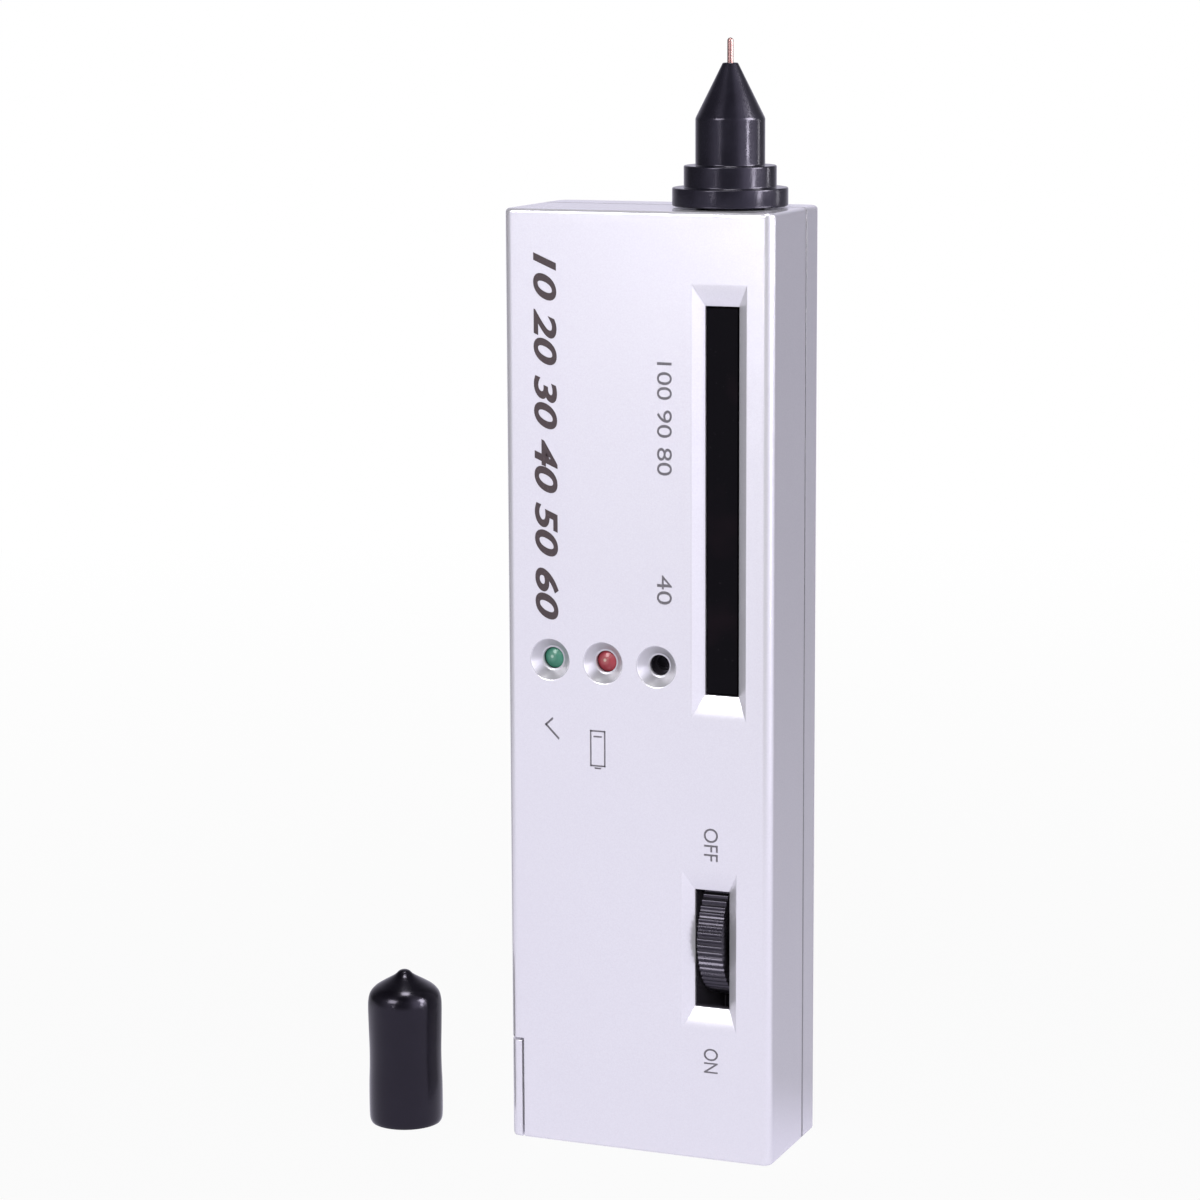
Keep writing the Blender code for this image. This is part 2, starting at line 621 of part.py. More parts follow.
def make_front_shell():
    shell = casing_blank("front_shell")
    bulk = BODY_HEIGHT + OVERRUN
    combine(shell, box("front_half", (X_LEFT - OVERRUN, Y_FRONT - OVERRUN, -OVERRUN),
                       (X_RIGHT + OVERRUN, SEAM_Y, bulk)), "INTERSECT")
    common_cuts(shell)
    skin = INNER_FRONT - BITE
    half_window = WINDOW_WIDTH / 2 + PAD_MARGIN
    half_slot = WHEEL_WIDTH / 2 + WHEEL_SLOT_GAP
    slot_end = WHEEL_SLOT_LENGTH / 2
    join(shell,
         box("window_pad", (WINDOW_X - half_window, skin, WINDOW_Z0 - PAD_MARGIN),
             (WINDOW_X + half_window, PAD_Y, WINDOW_Z1 + PAD_MARGIN)),
         box("wheel_pad", (BAY_X0, skin, SLOT_Z - slot_end - RECESS_END),
             (WHEEL_X + half_slot + PAD_MARGIN, PAD_Y, SLOT_Z + slot_end + RECESS_END)),
         box("dish_pad", (DISH_XS[0] - DISH_RADIUS, skin, LAMP_Z - DISH_RADIUS),
             (DISH_XS[-1] + DISH_RADIUS, DISH_PAD_Y, LAMP_Z + DISH_RADIUS)),
         box("front_bay_rib", (BAY_X0, skin, WALL - BITE), (BAY_X1, SEAM_Y, SHELF_Z1)),
         box("shelf", (X_LEFT + WALL - BITE, skin, SHELF_Z0),
             (BAY_X1, INNER_FRONT + SHELF_SET_BACK, SHELF_Z1)))
    guide_x = X_RIGHT - WALL - POT_BOARD_GUIDE
    for side, sign in (("lower", -1), ("upper", 1)):
        near = WHEEL_HEIGHT + sign * (POT_BOARD_LENGTH / 2 + FIT)
        far = near + sign * RIB
        join(shell, box(side + "_board_guide", (guide_x, skin, min(near, far)),
                        (X_RIGHT - WALL + BITE, SEAM_Y, max(near, far))))
    bore = SCREW_SHANK_RADIUS + FIT
    bosses = (("case", CASE_SCREW_PLACES, SEAM_Y, Y_REAR - CASE_SCREW_SUNK - CASE_SCREW_LENGTH),
              ("board", BOARD_SCREW_PLACES, BOARD_Y0 - FIT, BOARD_Y1 + FIT - BOARD_SCREW_LENGTH))
    for kind, places, top, screw_end in bosses:
        for index, (x, z) in enumerate(places, 1):
            join(shell, cylinder(f"{kind}_boss_{index}", (x, skin, z), (x, top, z), BOSS_RADIUS))
            cut(shell, cylinder(f"{kind}_boss_bore_{index}", (x, screw_end - HOLE_SPARE, z),
                                (x, top + OVERRUN, z), bore))
    cut(shell,
        recess("window_recess", WINDOW_X, (WINDOW_Z0 + WINDOW_Z1) / 2, WINDOW_WIDTH / 2, WINDOW_LENGTH / 2),
        box("window_opening", (WINDOW_X - WINDOW_WIDTH / 2, Y_FRONT, WINDOW_Z0),
            (WINDOW_X + WINDOW_WIDTH / 2, PAD_Y + OVERRUN, WINDOW_Z1)),
        recess("wheel_recess", WHEEL_X, SLOT_Z, half_slot, slot_end),
        box("wheel_opening", (WHEEL_X - half_slot, Y_FRONT, SLOT_Z - slot_end),
            (WHEEL_X + half_slot, PAD_Y + OVERRUN, SLOT_Z + slot_end)))
    radii = (LENS_HOLE_RADIUS, LENS_HOLE_RADIUS, SOUND_HOLE_RADIUS)
    for index, (x, radius) in enumerate(zip(DISH_XS, radii), 1):
        cut(shell, *dish(f"dish_{index}", x, radius))
    seam_grooves(shell)
    return finish(shell, SILVER, body)


def rear_lips(shell):
    """Lips that reach from the rear shell into the front one along both sides and the top."""
    tip = SEAM_Y - LIP_HEIGHT
    root = REAR_SHELL_Y + LIP_ROOT
    outer = X_RIGHT - WALL
    ceiling = BODY_HEIGHT - WALL
    inner = outer - FIT - LIP_THICKNESS
    for side, sign in (("right", 1), ("left", -1)):
        for part, depth0, depth1, reach in (("root", REAR_SHELL_Y, root, outer + BITE),
                                            ("lip", tip, root, outer - FIT)):
            near = sign * inner
            far = sign * reach
            join(shell, box(f"{side}_{part}", (min(near, far), depth0, BOARD_Z0),
                            (max(near, far), depth1, BOARD_Z1)))
    top_end = NOSE_X - NUT_FLATS
    low = ceiling - FIT - LIP_THICKNESS
    join(shell,
         box("top_root", (-inner, REAR_SHELL_Y, low), (top_end, root, ceiling + BITE)),
         box("top_lip", (-inner, tip, low), (top_end, root, ceiling - FIT)))


def make_rear_shell():
    shell = casing_blank("rear_shell")
    combine(shell, box("rear_half", (X_LEFT - OVERRUN, REAR_SHELL_Y, -OVERRUN),
                       (X_RIGHT + OVERRUN, Y_REAR + OVERRUN, BODY_HEIGHT + OVERRUN)), "INTERSECT")
    common_cuts(shell)
    skin = INNER_REAR + BITE
    join(shell, box("rear_bay_rib", (BAY_X0, REAR_SHELL_Y, WALL - BITE), (BAY_X1, skin, SHELF_Z1)))
    rear_lips(shell)
    seat = Y_REAR - CASE_SCREW_SUNK
    for index, (x, z) in enumerate(CASE_SCREW_PLACES, 1):
        join(shell, cylinder(f"case_post_{index}", (x, REAR_SHELL_Y, z), (x, skin, z), POST_RADIUS))
        cut(shell,
            cylinder(f"case_post_bore_{index}", (x, SEAM_Y - OVERRUN, z), (x, Y_REAR, z),
                     SCREW_SHANK_RADIUS + FIT),
            cylinder(f"case_post_well_{index}", (x, seat, z), (x, Y_REAR + OVERRUN, z),
                     SCREW_HEAD_RADIUS + FIT, ROUND_SEGMENTS))
    seam_grooves(shell)
    return finish(shell, SILVER, body)


def make_battery_door():
    """End cap: a bottom plate between the walls and a grip up the left side."""
    door = casing_blank("battery_door")
    grip_x = X_LEFT + DOOR_THICKNESS
    plate_y = INNER_REAR - FIT
    far_x = BODY_WIDTH + OVERRUN
    far_y = Y_REAR + OVERRUN
    combine(door, box("door_block", (X_LEFT - OVERRUN, -far_y, -OVERRUN),
                      (BAY_X0 - FIT, far_y, DOOR_HEIGHT)), "INTERSECT")
    cut(door,
        box("door_above_plate", (grip_x, -far_y, WALL), (far_x, far_y, DOOR_HEIGHT + OVERRUN)),
        box("door_front_relief", (grip_x, -far_y, -OVERRUN), (far_x, -plate_y, WALL + OVERRUN)),
        box("door_rear_relief", (grip_x, plate_y, -OVERRUN), (far_x, far_y, WALL + OVERRUN)))
    corner = [(X_LEFT - OVERRUN, -OVERRUN), (X_LEFT + DOOR_CORNER_RADIUS, -OVERRUN)]
    for step in range(CORNER_STEPS + 1):
        angle = math.pi / 2 * step / CORNER_STEPS
        corner.append((X_LEFT + DOOR_CORNER_RADIUS * (1 - math.sin(angle)),
                       DOOR_CORNER_RADIUS * (1 - math.cos(angle))))
    corner.append((X_LEFT - OVERRUN, DOOR_CORNER_RADIUS))
    cut(door, flat_plate("door_corner", corner, BODY_DEPTH + 2 * OVERRUN, (0, 0, 0), (math.pi / 2, 0, 0)))
    reach = Y_REAR - REAR_EDGE_RADIUS
    for index in range(GRIP_COUNT):
        low = GRIP_FOOT + index * GRIP_PITCH
        cut(door, box(f"door_groove_{index + 1}", (X_LEFT - OVERRUN, -reach, low),
                      (X_LEFT + GRIP_DEPTH, reach, low + GRIP_WIDTH)))
    return finish(door, SILVER, door_slide)


def make_display_window():
    half_width = WINDOW_WIDTH / 2
    front = RECESS_Y + PANE_SUNK
    flange_front = PAD_Y + FIT
    pane = box("display_window", (WINDOW_X - half_width + FIT, front, WINDOW_Z0 + FIT),
               (WINDOW_X + half_width - FIT, PANE_BACK_Y, WINDOW_Z1 - FIT))
    join(pane, box("window_flange", (WINDOW_X - half_width - PANE_RIM, flange_front, WINDOW_Z0 - PANE_RIM),
                   (WINDOW_X + half_width + PANE_RIM, PANE_BACK_Y, WINDOW_Z1 + PANE_RIM)))
    return finish(pane, SMOKED, body)


def make_main_board():
    board = box("main_board", (-BOARD_X1, BOARD_Y0, BOARD_Z0), (BOARD_X1, BOARD_Y1, BOARD_Z1))
    for index, (x, z) in enumerate(BOARD_SCREW_PLACES, 1):
        cut(board, cylinder(f"board_hole_{index}", (x, BOARD_Y0 - OVERRUN, z), (x, BOARD_Y1 + OVERRUN, z),
                            SCREW_SHANK_RADIUS + FIT))
    return finish(board, BOARD_GREEN, body)


def led_leads(lamp, x, z, start):
    """Two square leads from a lamp's foot to just above the board."""
    half = LED_LEAD / 2
    for side, sign in (("left", -1), ("right", 1)):
        lead_x = x + sign * LED_LEAD_SPACING / 2
        join(lamp, box(f"{lamp.name}_{side}_lead", (lead_x - half, start - BITE, z - half),
                       (lead_x + half, BOARD_Y0 - FIT, z + half)))


def make_lamp(name, x, colour):
    """Round lamp whose dome sits in the dish's hole from behind."""
    reach = LED_RADIUS + FIT
    centre = DISH_PAD_Y + math.sqrt(reach ** 2 - LENS_HOLE_RADIUS ** 2)
    angles = [math.pi / 2 * step / DOME_STEPS for step in range(DOME_STEPS + 1)]
    profile = [(LED_RADIUS * math.sin(angle), LED_RADIUS * math.cos(angle)) for angle in angles]
    flange = LED_FLANGE_THICKNESS - LED_LENGTH
    profile += [(LED_RADIUS, flange), (LED_FLANGE_RADIUS, flange), (LED_FLANGE_RADIUS, -LED_LENGTH),
                (0, -LED_LENGTH)]
    lamp = turned(name, profile, (x, centre, LAMP_Z), LAMP_SEGMENTS, "-Y")
    led_leads(lamp, x, LAMP_Z, centre + LED_LENGTH)
    return finish(lamp, colour, body)


def make_level_leds():
    """Row of flat lamps behind the window, one to each step of the level."""
    half = LEVEL_LED_WIDTH / 2
    first_z = WINDOW_Z0 + LEVEL_PITCH / 2
    foot = LEVEL_LED_Y0 + LEVEL_LED_LENGTH
    lamp = box("level_led_1", (WINDOW_X - half, LEVEL_LED_Y0, first_z - LEVEL_LED_HEIGHT / 2),
               (WINDOW_X + half, foot, first_z + LEVEL_LED_HEIGHT / 2))
    led_leads(lamp, WINDOW_X, first_z, foot)
    centre = lamp.location.copy()
    finish(lamp, RED_LENS, body)
    for index in range(1, LEVEL_COUNT):
        copy_of(lamp, f"level_led_{index + 1}", centre + Vector((0, 0, index * LEVEL_PITCH)))


def make_buzzer():
    top = DISH_PAD_Y + FIT + PAD_WALL / 2
    height = BOARD_Y0 - FIT - top
    profile = [(0, -BUZZER_HOLE_DEPTH), (BUZZER_HOLE_RADIUS, -BUZZER_HOLE_DEPTH), (BUZZER_HOLE_RADIUS, 0),
               (BUZZER_RADIUS - BUZZER_STEP, 0), (BUZZER_RADIUS, -BUZZER_STEP), (BUZZER_RADIUS, -height),
               (0, -height)]
    return finish(turned("buzzer", profile, (DISH_XS[2], top, LAMP_Z), axis="-Y"), BLACK_MATT, body)


def make_chip(name, x, z0, pins):
    """Dual in-line chip on its pins in front of the board; z0 is its lower end."""
    length = pins * CHIP_PIN_PITCH
    back = BOARD_Y0 - CHIP_STANDOFF - FIT
    half = CHIP_WIDTH / 2
    chip = box(name, (x - half, back - CHIP_THICKNESS, z0), (x + half, back, z0 + length))
    for index in range(pins):
        low = z0 + (index + 0.5) * CHIP_PIN_PITCH - CHIP_PIN_WIDTH / 2
        for side, sign in (("left", -1), ("right", 1)):
            near = x + sign * (half - BITE)
            far = x + sign * (half + CHIP_PIN_THICKNESS)
            join(chip, box(f"{name}_{side}_pin_{index + 1}",
                           (min(near, far), back - CHIP_THICKNESS / 2, low),
                           (max(near, far), BOARD_Y0 - FIT, low + CHIP_PIN_WIDTH)))
    return finish(chip, CHIP_BLACK, body)


def make_board_parts():
    """Level drivers, amplifier, capacitors and trimmer in front of the board."""
    low = LAMP_Z + LED_FLANGE_RADIUS + CHIP_GAP
    driver_pitch = DRIVER_PINS * CHIP_PIN_PITCH + CHIP_GAP
    for index in range(2):
        make_chip(f"bar_driver_{index + 1}", DRIVER_X, low + index * driver_pitch, DRIVER_PINS)
    amp_top = low + AMP_PINS * CHIP_PIN_PITCH
    make_chip("op_amp", SIDE_CHIP_X, low, AMP_PINS)
    front = BOARD_Y0 - FIT - CAPACITOR_HEIGHT
    waist = -CAPACITOR_HEIGHT * (1 - CAPACITOR_WAIST_SHARE)
    narrow = CAPACITOR_RADIUS - CAPACITOR_GROOVE
    profile = [(0, 0), (narrow, 0), (CAPACITOR_RADIUS, -CAPACITOR_GROOVE), (CAPACITOR_RADIUS, waist),
               (narrow, waist - CAPACITOR_GROOVE), (CAPACITOR_RADIUS, waist - 2 * CAPACITOR_GROOVE),
               (CAPACITOR_RADIUS, -CAPACITOR_HEIGHT), (0, -CAPACITOR_HEIGHT)]
    first = (SIDE_CHIP_X, front, amp_top + CHIP_GAP + CAPACITOR_RADIUS)
    can = finish(turned("capacitor_1", profile, first, SMALL_SEGMENTS, "-Y"), CAN_BLUE, body)
    copy_of(can, "capacitor_2", Vector(first) + Vector((0, 0, 2 * CAPACITOR_RADIUS + CHIP_GAP)))
    half = TRIMMER_SIZE / 2
    x = TRIMMER_X
    z = LAMP_Z + BUZZER_RADIUS + CHIP_GAP + half
    face = BOARD_Y0 - FIT - TRIMMER_HEIGHT
    trimmer = box("trimmer", (x - half, face, z - half), (x + half, BOARD_Y0 - FIT, z + half))
    join(trimmer, cylinder("trimmer_dial", (x, face - TRIMMER_DIAL_HEIGHT, z), (x, face + BITE, z),
                           TRIMMER_DIAL_RADIUS))
    cut(trimmer, box("trimmer_slot", (x - half, face - OVERRUN, z - TRIMMER_SLOT / 2),
                     (x + half, face - TRIMMER_DIAL_HEIGHT / 2, z + TRIMMER_SLOT / 2)))
    finish(trimmer, TRIMMER_BLUE, body)


def make_screw(name, place, length, axis, parent):
    """Cross-headed screw: place is the underside of its head, axis points out of the head."""
    shank = SCREW_SHANK_RADIUS
    profile = [(0, SCREW_HEAD_HEIGHT), (SCREW_HEAD_RADIUS * SCREW_CROWN_SHARE, SCREW_HEAD_HEIGHT),
               (SCREW_HEAD_RADIUS, SCREW_HEAD_HEIGHT / 2), (SCREW_HEAD_RADIUS, 0), (shank, 0),
               (shank, shank - length), (shank * SCREW_POINT_SHARE, -length), (0, -length)]
    screw = turned(name, profile, place, SCREW_SEGMENTS, axis)
    outward = Vector((0, 0, 1))
    outward.rotate(screw.rotation_euler)
    centre = Vector(place) + outward * SCREW_HEAD_HEIGHT
    narrow = SCREW_RECESS_WIDTH / 2
    wide = SCREW_RECESS_SPAN / 2
    for arm, (x, y) in (("first", (wide, narrow)), ("second", (narrow, wide))):
        corner = Vector((x, y, SCREW_RECESS_DEPTH))
        bar = box(f"{name}_{arm}_arm", -corner, corner)
        bar.location = centre
        bar.rotation_euler = screw.rotation_euler
        cut(screw, bar)
    return finish(screw, STEEL, parent)


def make_screws():
    seat = Y_REAR - CASE_SCREW_SUNK + FIT
    places = [(x, seat, z) for x, z in CASE_SCREW_PLACES]
    first = make_screw("case_screw_1", places[0], CASE_SCREW_LENGTH, "Y", body)
    for index, place in enumerate(places[1:], 2):
        copy_of(first, f"case_screw_{index}", place)
    places = [(x, BOARD_Y1 + FIT, z) for x, z in BOARD_SCREW_PLACES]
    first = make_screw("board_screw_1", places[0], BOARD_SCREW_LENGTH, "Y", body)
    for index, place in enumerate(places[1:], 2):
        copy_of(first, f"board_screw_{index}", place)


def make_thumbwheel():
    """Ribbed wheel on the rotor of its potentiometer, held by a screw.

    The rim is a cylinder with every second pair of its corners drawn in.
    """
    corners_per_rib = 4
    centre = Vector((WHEEL_X, WHEEL_Y, WHEEL_HEIGHT))
    half_axle = Vector((WHEEL_WIDTH / 2, 0, 0))
    wheel = cylinder("thumbwheel", centre - half_axle, centre + half_axle, WHEEL_RADIUS,
                     WHEEL_RIB_COUNT * corners_per_rib)
    valley = (WHEEL_RADIUS - WHEEL_RIB_DEPTH) / WHEEL_RADIUS
    for vertex in wheel.data.vertices:
        turn = math.atan2(vertex.co.y, vertex.co.x) / (2 * math.pi) * WHEEL_RIB_COUNT * corners_per_rib
        if round(turn) % corners_per_rib >= corners_per_rib / 2:
            vertex.co.x *= valley
            vertex.co.y *= valley
    web_x0 = WHEEL_X0 + WHEEL_HEAD_RECESS
    web_x1 = web_x0 + WHEEL_WEB
    for side, x0, x1 in (("left", WHEEL_X0 - OVERRUN, WHEEL_X0 + WHEEL_DISH_DEPTH),
                         ("right", WHEEL_X1 - WHEEL_DISH_DEPTH, WHEEL_X1 + OVERRUN)):
        ring = [(WHEEL_RADIUS - WHEEL_RIM, x1 - x0), (WHEEL_RADIUS - WHEEL_RIM, 0),
                (WHEEL_HUB_RADIUS, 0), (WHEEL_HUB_RADIUS, x1 - x0)]
        cut(wheel, turned(f"wheel_dish_{side}", ring, (x0, WHEEL_Y, WHEEL_HEIGHT), axis="X", ring=True))
    past_web = WHEEL_HEAD_RECESS / 2
    bores = (("head", WHEEL_X0 - OVERRUN, web_x0, SCREW_HEAD_RADIUS + FIT),
             ("web", web_x0 - past_web, web_x1 + past_web, SCREW_SHANK_RADIUS + FIT),
             ("stub", web_x1, WHEEL_X1 + OVERRUN, ROTOR_STUB_RADIUS + FIT))
    for kind, x0, x1, radius in bores:
        cut(wheel, cylinder(f"wheel_{kind}_bore", (x0, WHEEL_Y, WHEEL_HEIGHT), (x1, WHEEL_Y, WHEEL_HEIGHT),
                            radius, ROUND_SEGMENTS))
    finish(wheel, BLACK_MATT, wheel_axis)

    stub_x = web_x1 + FIT
    end_x = POT_X1 - FIT
    head_seat = web_x0 - FIT
    bore_x = head_seat + WHEEL_SCREW_LENGTH + HOLE_SPARE
    bore_radius = SCREW_SHANK_RADIUS + FIT
    profile = [(0, end_x - stub_x), (ROTOR_RADIUS, end_x - stub_x), (ROTOR_RADIUS, POT_X0 - stub_x),
               (ROTOR_STUB_RADIUS, POT_X0 - stub_x), (ROTOR_STUB_RADIUS, 0), (bore_radius, 0),
               (bore_radius, bore_x - stub_x), (0, bore_x - stub_x)]
    rotor = turned("wheel_rotor", profile, (stub_x, WHEEL_Y, WHEEL_HEIGHT), axis="X")
    finish(rotor, NATURAL_NYLON, wheel_axis)
    make_screw("wheel_screw", (head_seat, WHEEL_Y, WHEEL_HEIGHT), WHEEL_SCREW_LENGTH, "-X", wheel_axis)


def make_potentiometer():
    hole = ROTOR_RADIUS + FIT
    profile = [(POT_RADIUS, POT_THICKNESS), (POT_RADIUS, POT_STEP), (POT_RADIUS - POT_STEP, 0), (hole, 0),
               (hole, POT_THICKNESS)]
    can = turned("potentiometer", profile, (POT_X0, WHEEL_Y, WHEEL_HEIGHT), axis="X", ring=True)
    finish(can, POT_GREY, body)
    half_width = POT_BOARD_WIDTH / 2
    half_length = POT_BOARD_LENGTH / 2
    board = box("wheel_board", (POT_BOARD_X0, WHEEL_Y - half_width, WHEEL_HEIGHT - half_length),
                (POT_BOARD_X1, WHEEL_Y + half_width, WHEEL_HEIGHT + half_length))
    finish(board, BOARD_GREEN, body)


def make_nose():
    """Stepped nose on a neck through the top wall, held by a nut inside."""
    base = NECK_Z
    bore_top = NOSE_TOP - TIP_BELOW_CONE + FIT - NECK_Z
    edge = NOSE_EDGE
    exit_radius = TIP_RADIUS + FIT
    guide_z0 = bore_top + FIT
    guide_z1 = guide_z0 + GUIDE_LENGTH + FIT
    flange = BODY_HEIGHT + FIT - base
    step = UPPER_FLANGE_Z - base
    barrel = BARREL_Z - base
    cone = CONE_Z - base
    top = NOSE_TOP - base
    profile = [(exit_radius, top), (CONE_TIP_RADIUS - edge, top), (CONE_TIP_RADIUS, top - edge),
               (BARREL_RADIUS, cone), (BARREL_RADIUS, barrel),
               (UPPER_FLANGE_RADIUS - edge, barrel), (UPPER_FLANGE_RADIUS, barrel - edge),
               (UPPER_FLANGE_RADIUS, step),
               (LOWER_FLANGE_RADIUS - edge, step), (LOWER_FLANGE_RADIUS, step - edge),
               (LOWER_FLANGE_RADIUS, flange), (NECK_RADIUS, flange), (NECK_RADIUS, 0),
               (NECK_BORE_RADIUS, 0), (NECK_BORE_RADIUS, bore_top), (GUIDE_BORE_RADIUS, bore_top),
               (GUIDE_BORE_RADIUS, guide_z1), (exit_radius, guide_z1)]
    finish(turned("nose_cone", profile, (NOSE_X, 0, base), FINE_SEGMENTS, ring=True), BLACK_GLOSS, body)

    nut_z1 = BODY_HEIGHT - WALL - FIT
    nut_z0 = nut_z1 - NUT_THICKNESS
    nut = cylinder("nose_nut", (NOSE_X, 0, nut_z0), (NOSE_X, 0, nut_z1), NUT_FLATS / math.sqrt(3), 6)
    cut(nut, cylinder("nut_bore", (NOSE_X, 0, nut_z0 - OVERRUN), (NOSE_X, 0, nut_z1 + OVERRUN),
                      NECK_RADIUS + FIT, ROUND_SEGMENTS))
    finish(nut, BLACK_MATT, body)

    guide = [(GUIDE_BORE_RADIUS - FIT, GUIDE_LENGTH), (GUIDE_BORE_RADIUS - FIT, 0), (exit_radius, 0),
             (exit_radius, GUIDE_LENGTH)]
    guide_tube = turned("tip_guide", guide, (NOSE_X, 0, base + guide_z0), SMALL_SEGMENTS, ring=True)
    finish(guide_tube, BRASS, body)
    plug = [(NECK_BORE_RADIUS - FIT, PLUG_THICKNESS), (NECK_BORE_RADIUS - FIT, 0), (TAIL_RADIUS + FIT, 0),
            (TAIL_RADIUS + FIT, PLUG_THICKNESS)]
    finish(turned("nose_plug", plug, (NOSE_X, 0, PLUG_Z0), SMALL_SEGMENTS, ring=True), NATURAL_NYLON, body)


def make_probe():
    """Copper tip on a stepped rod, with its heater sleeve, all pushed up by the spring."""
    top = NOSE_TOP + TIP_EXPOSED - COLLAR_Z0
    shank = SHANK_Z1 - COLLAR_Z0
    collar = COLLAR_Z1 - COLLAR_Z0
    collar_radius = NECK_BORE_RADIUS - FIT
    crown = TIP_RADIUS * TIP_CROWN_SHARE
    profile = [(0, top), (TIP_RADIUS / 2, top - crown), (TIP_RADIUS, top - TIP_RADIUS),
               (TIP_RADIUS, shank), (SHANK_RADIUS, shank), (SHANK_RADIUS, collar), (collar_radius, collar),
               (collar_radius, 0), (TAIL_RADIUS, 0), (TAIL_RADIUS, -TAIL_LENGTH), (0, -TAIL_LENGTH)]
    finish(turned("probe_tip", profile, (NOSE_X, 0, COLLAR_Z0), SMALL_SEGMENTS), COPPER, probe_axis)
    bore = SHANK_RADIUS + FIT
    sleeve = [(bore + HEATER_THICKNESS, HEATER_LENGTH), (bore + HEATER_THICKNESS, 0), (bore, 0),
              (bore, HEATER_LENGTH)]
    heater = turned("probe_heater", sleeve, (NOSE_X, 0, COLLAR_Z1 + FIT), SMALL_SEGMENTS, ring=True)
    finish(heater, CERAMIC, probe_axis)
    low = PLUG_Z1 + FIT + SPRING_WIRE_RADIUS
    high = COLLAR_Z0 - FIT - SPRING_WIRE_RADIUS
    steps = SPRING_TURNS * SPRING_POINTS_PER_TURN
    coil = []
    for step in range(steps + 1):
        angle = 2 * math.pi * step / SPRING_POINTS_PER_TURN
        coil.append((NOSE_X + SPRING_RADIUS * math.cos(angle), SPRING_RADIUS * math.sin(angle),
                     low + (high - low) * step / steps))
    finish(tube("probe_spring", coil, SPRING_WIRE_RADIUS, resolution=1), STEEL, body)


def make_battery():
    terminals = (("stud", TERMINAL_SPACING / 2), ("socket", -TERMINAL_SPACING / 2))
    half = BATTERY_THICKNESS / 2
    bm = bmesh.new()
    bmesh.ops.create_cube(bm, size=1)
    bmesh.ops.scale(bm, vec=(BATTERY_WIDTH, BATTERY_THICKNESS, BATTERY_LENGTH), verts=bm.verts)
    upright = [edge for edge in bm.edges if abs(edge.verts[0].co.z - edge.verts[1].co.z) > half]
    bevel_edges(bm, upright, BATTERY_EDGE_RADIUS, 3)
    battery = add_object("battery", mesh_from("battery", bm), (BATTERY_X, 0, (BATTERY_Z0 + BATTERY_Z1) / 2))
    snap = box("battery_snap", (BATTERY_X - SNAP_WIDTH / 2, -SNAP_DEPTH / 2, SNAP_Z0),
               (BATTERY_X + SNAP_WIDTH / 2, SNAP_DEPTH / 2, SNAP_Z1))
    socket_bore = STUD_RADIUS + FIT
    for owner, low, high, flip in ((battery, BATTERY_Z1, BATTERY_Z1 + TERMINAL_HEIGHT, 1),
                                   (snap, SNAP_Z0 - TERMINAL_HEIGHT, SNAP_Z0, -1)):
        for kind, offset in terminals:
            x = BATTERY_X + flip * offset
            root0 = low - BITE if flip > 0 else low
            root1 = high if flip > 0 else high + BITE
            if kind == "stud":
                join(owner, cylinder(owner.name + "_stud", (x, 0, root0), (x, 0, root1), STUD_RADIUS))
            else:
                ring = [(socket_bore + SOCKET_WALL, root1 - root0), (socket_bore + SOCKET_WALL, 0),
                        (socket_bore, 0), (socket_bore, root1 - root0)]
                join(owner, turned(owner.name + "_socket", ring, (x, 0, root0), SMALL_SEGMENTS, ring=True))
    finish(battery, BATTERY_SKIN, body)
    finish(snap, BLACK_MATT, body)


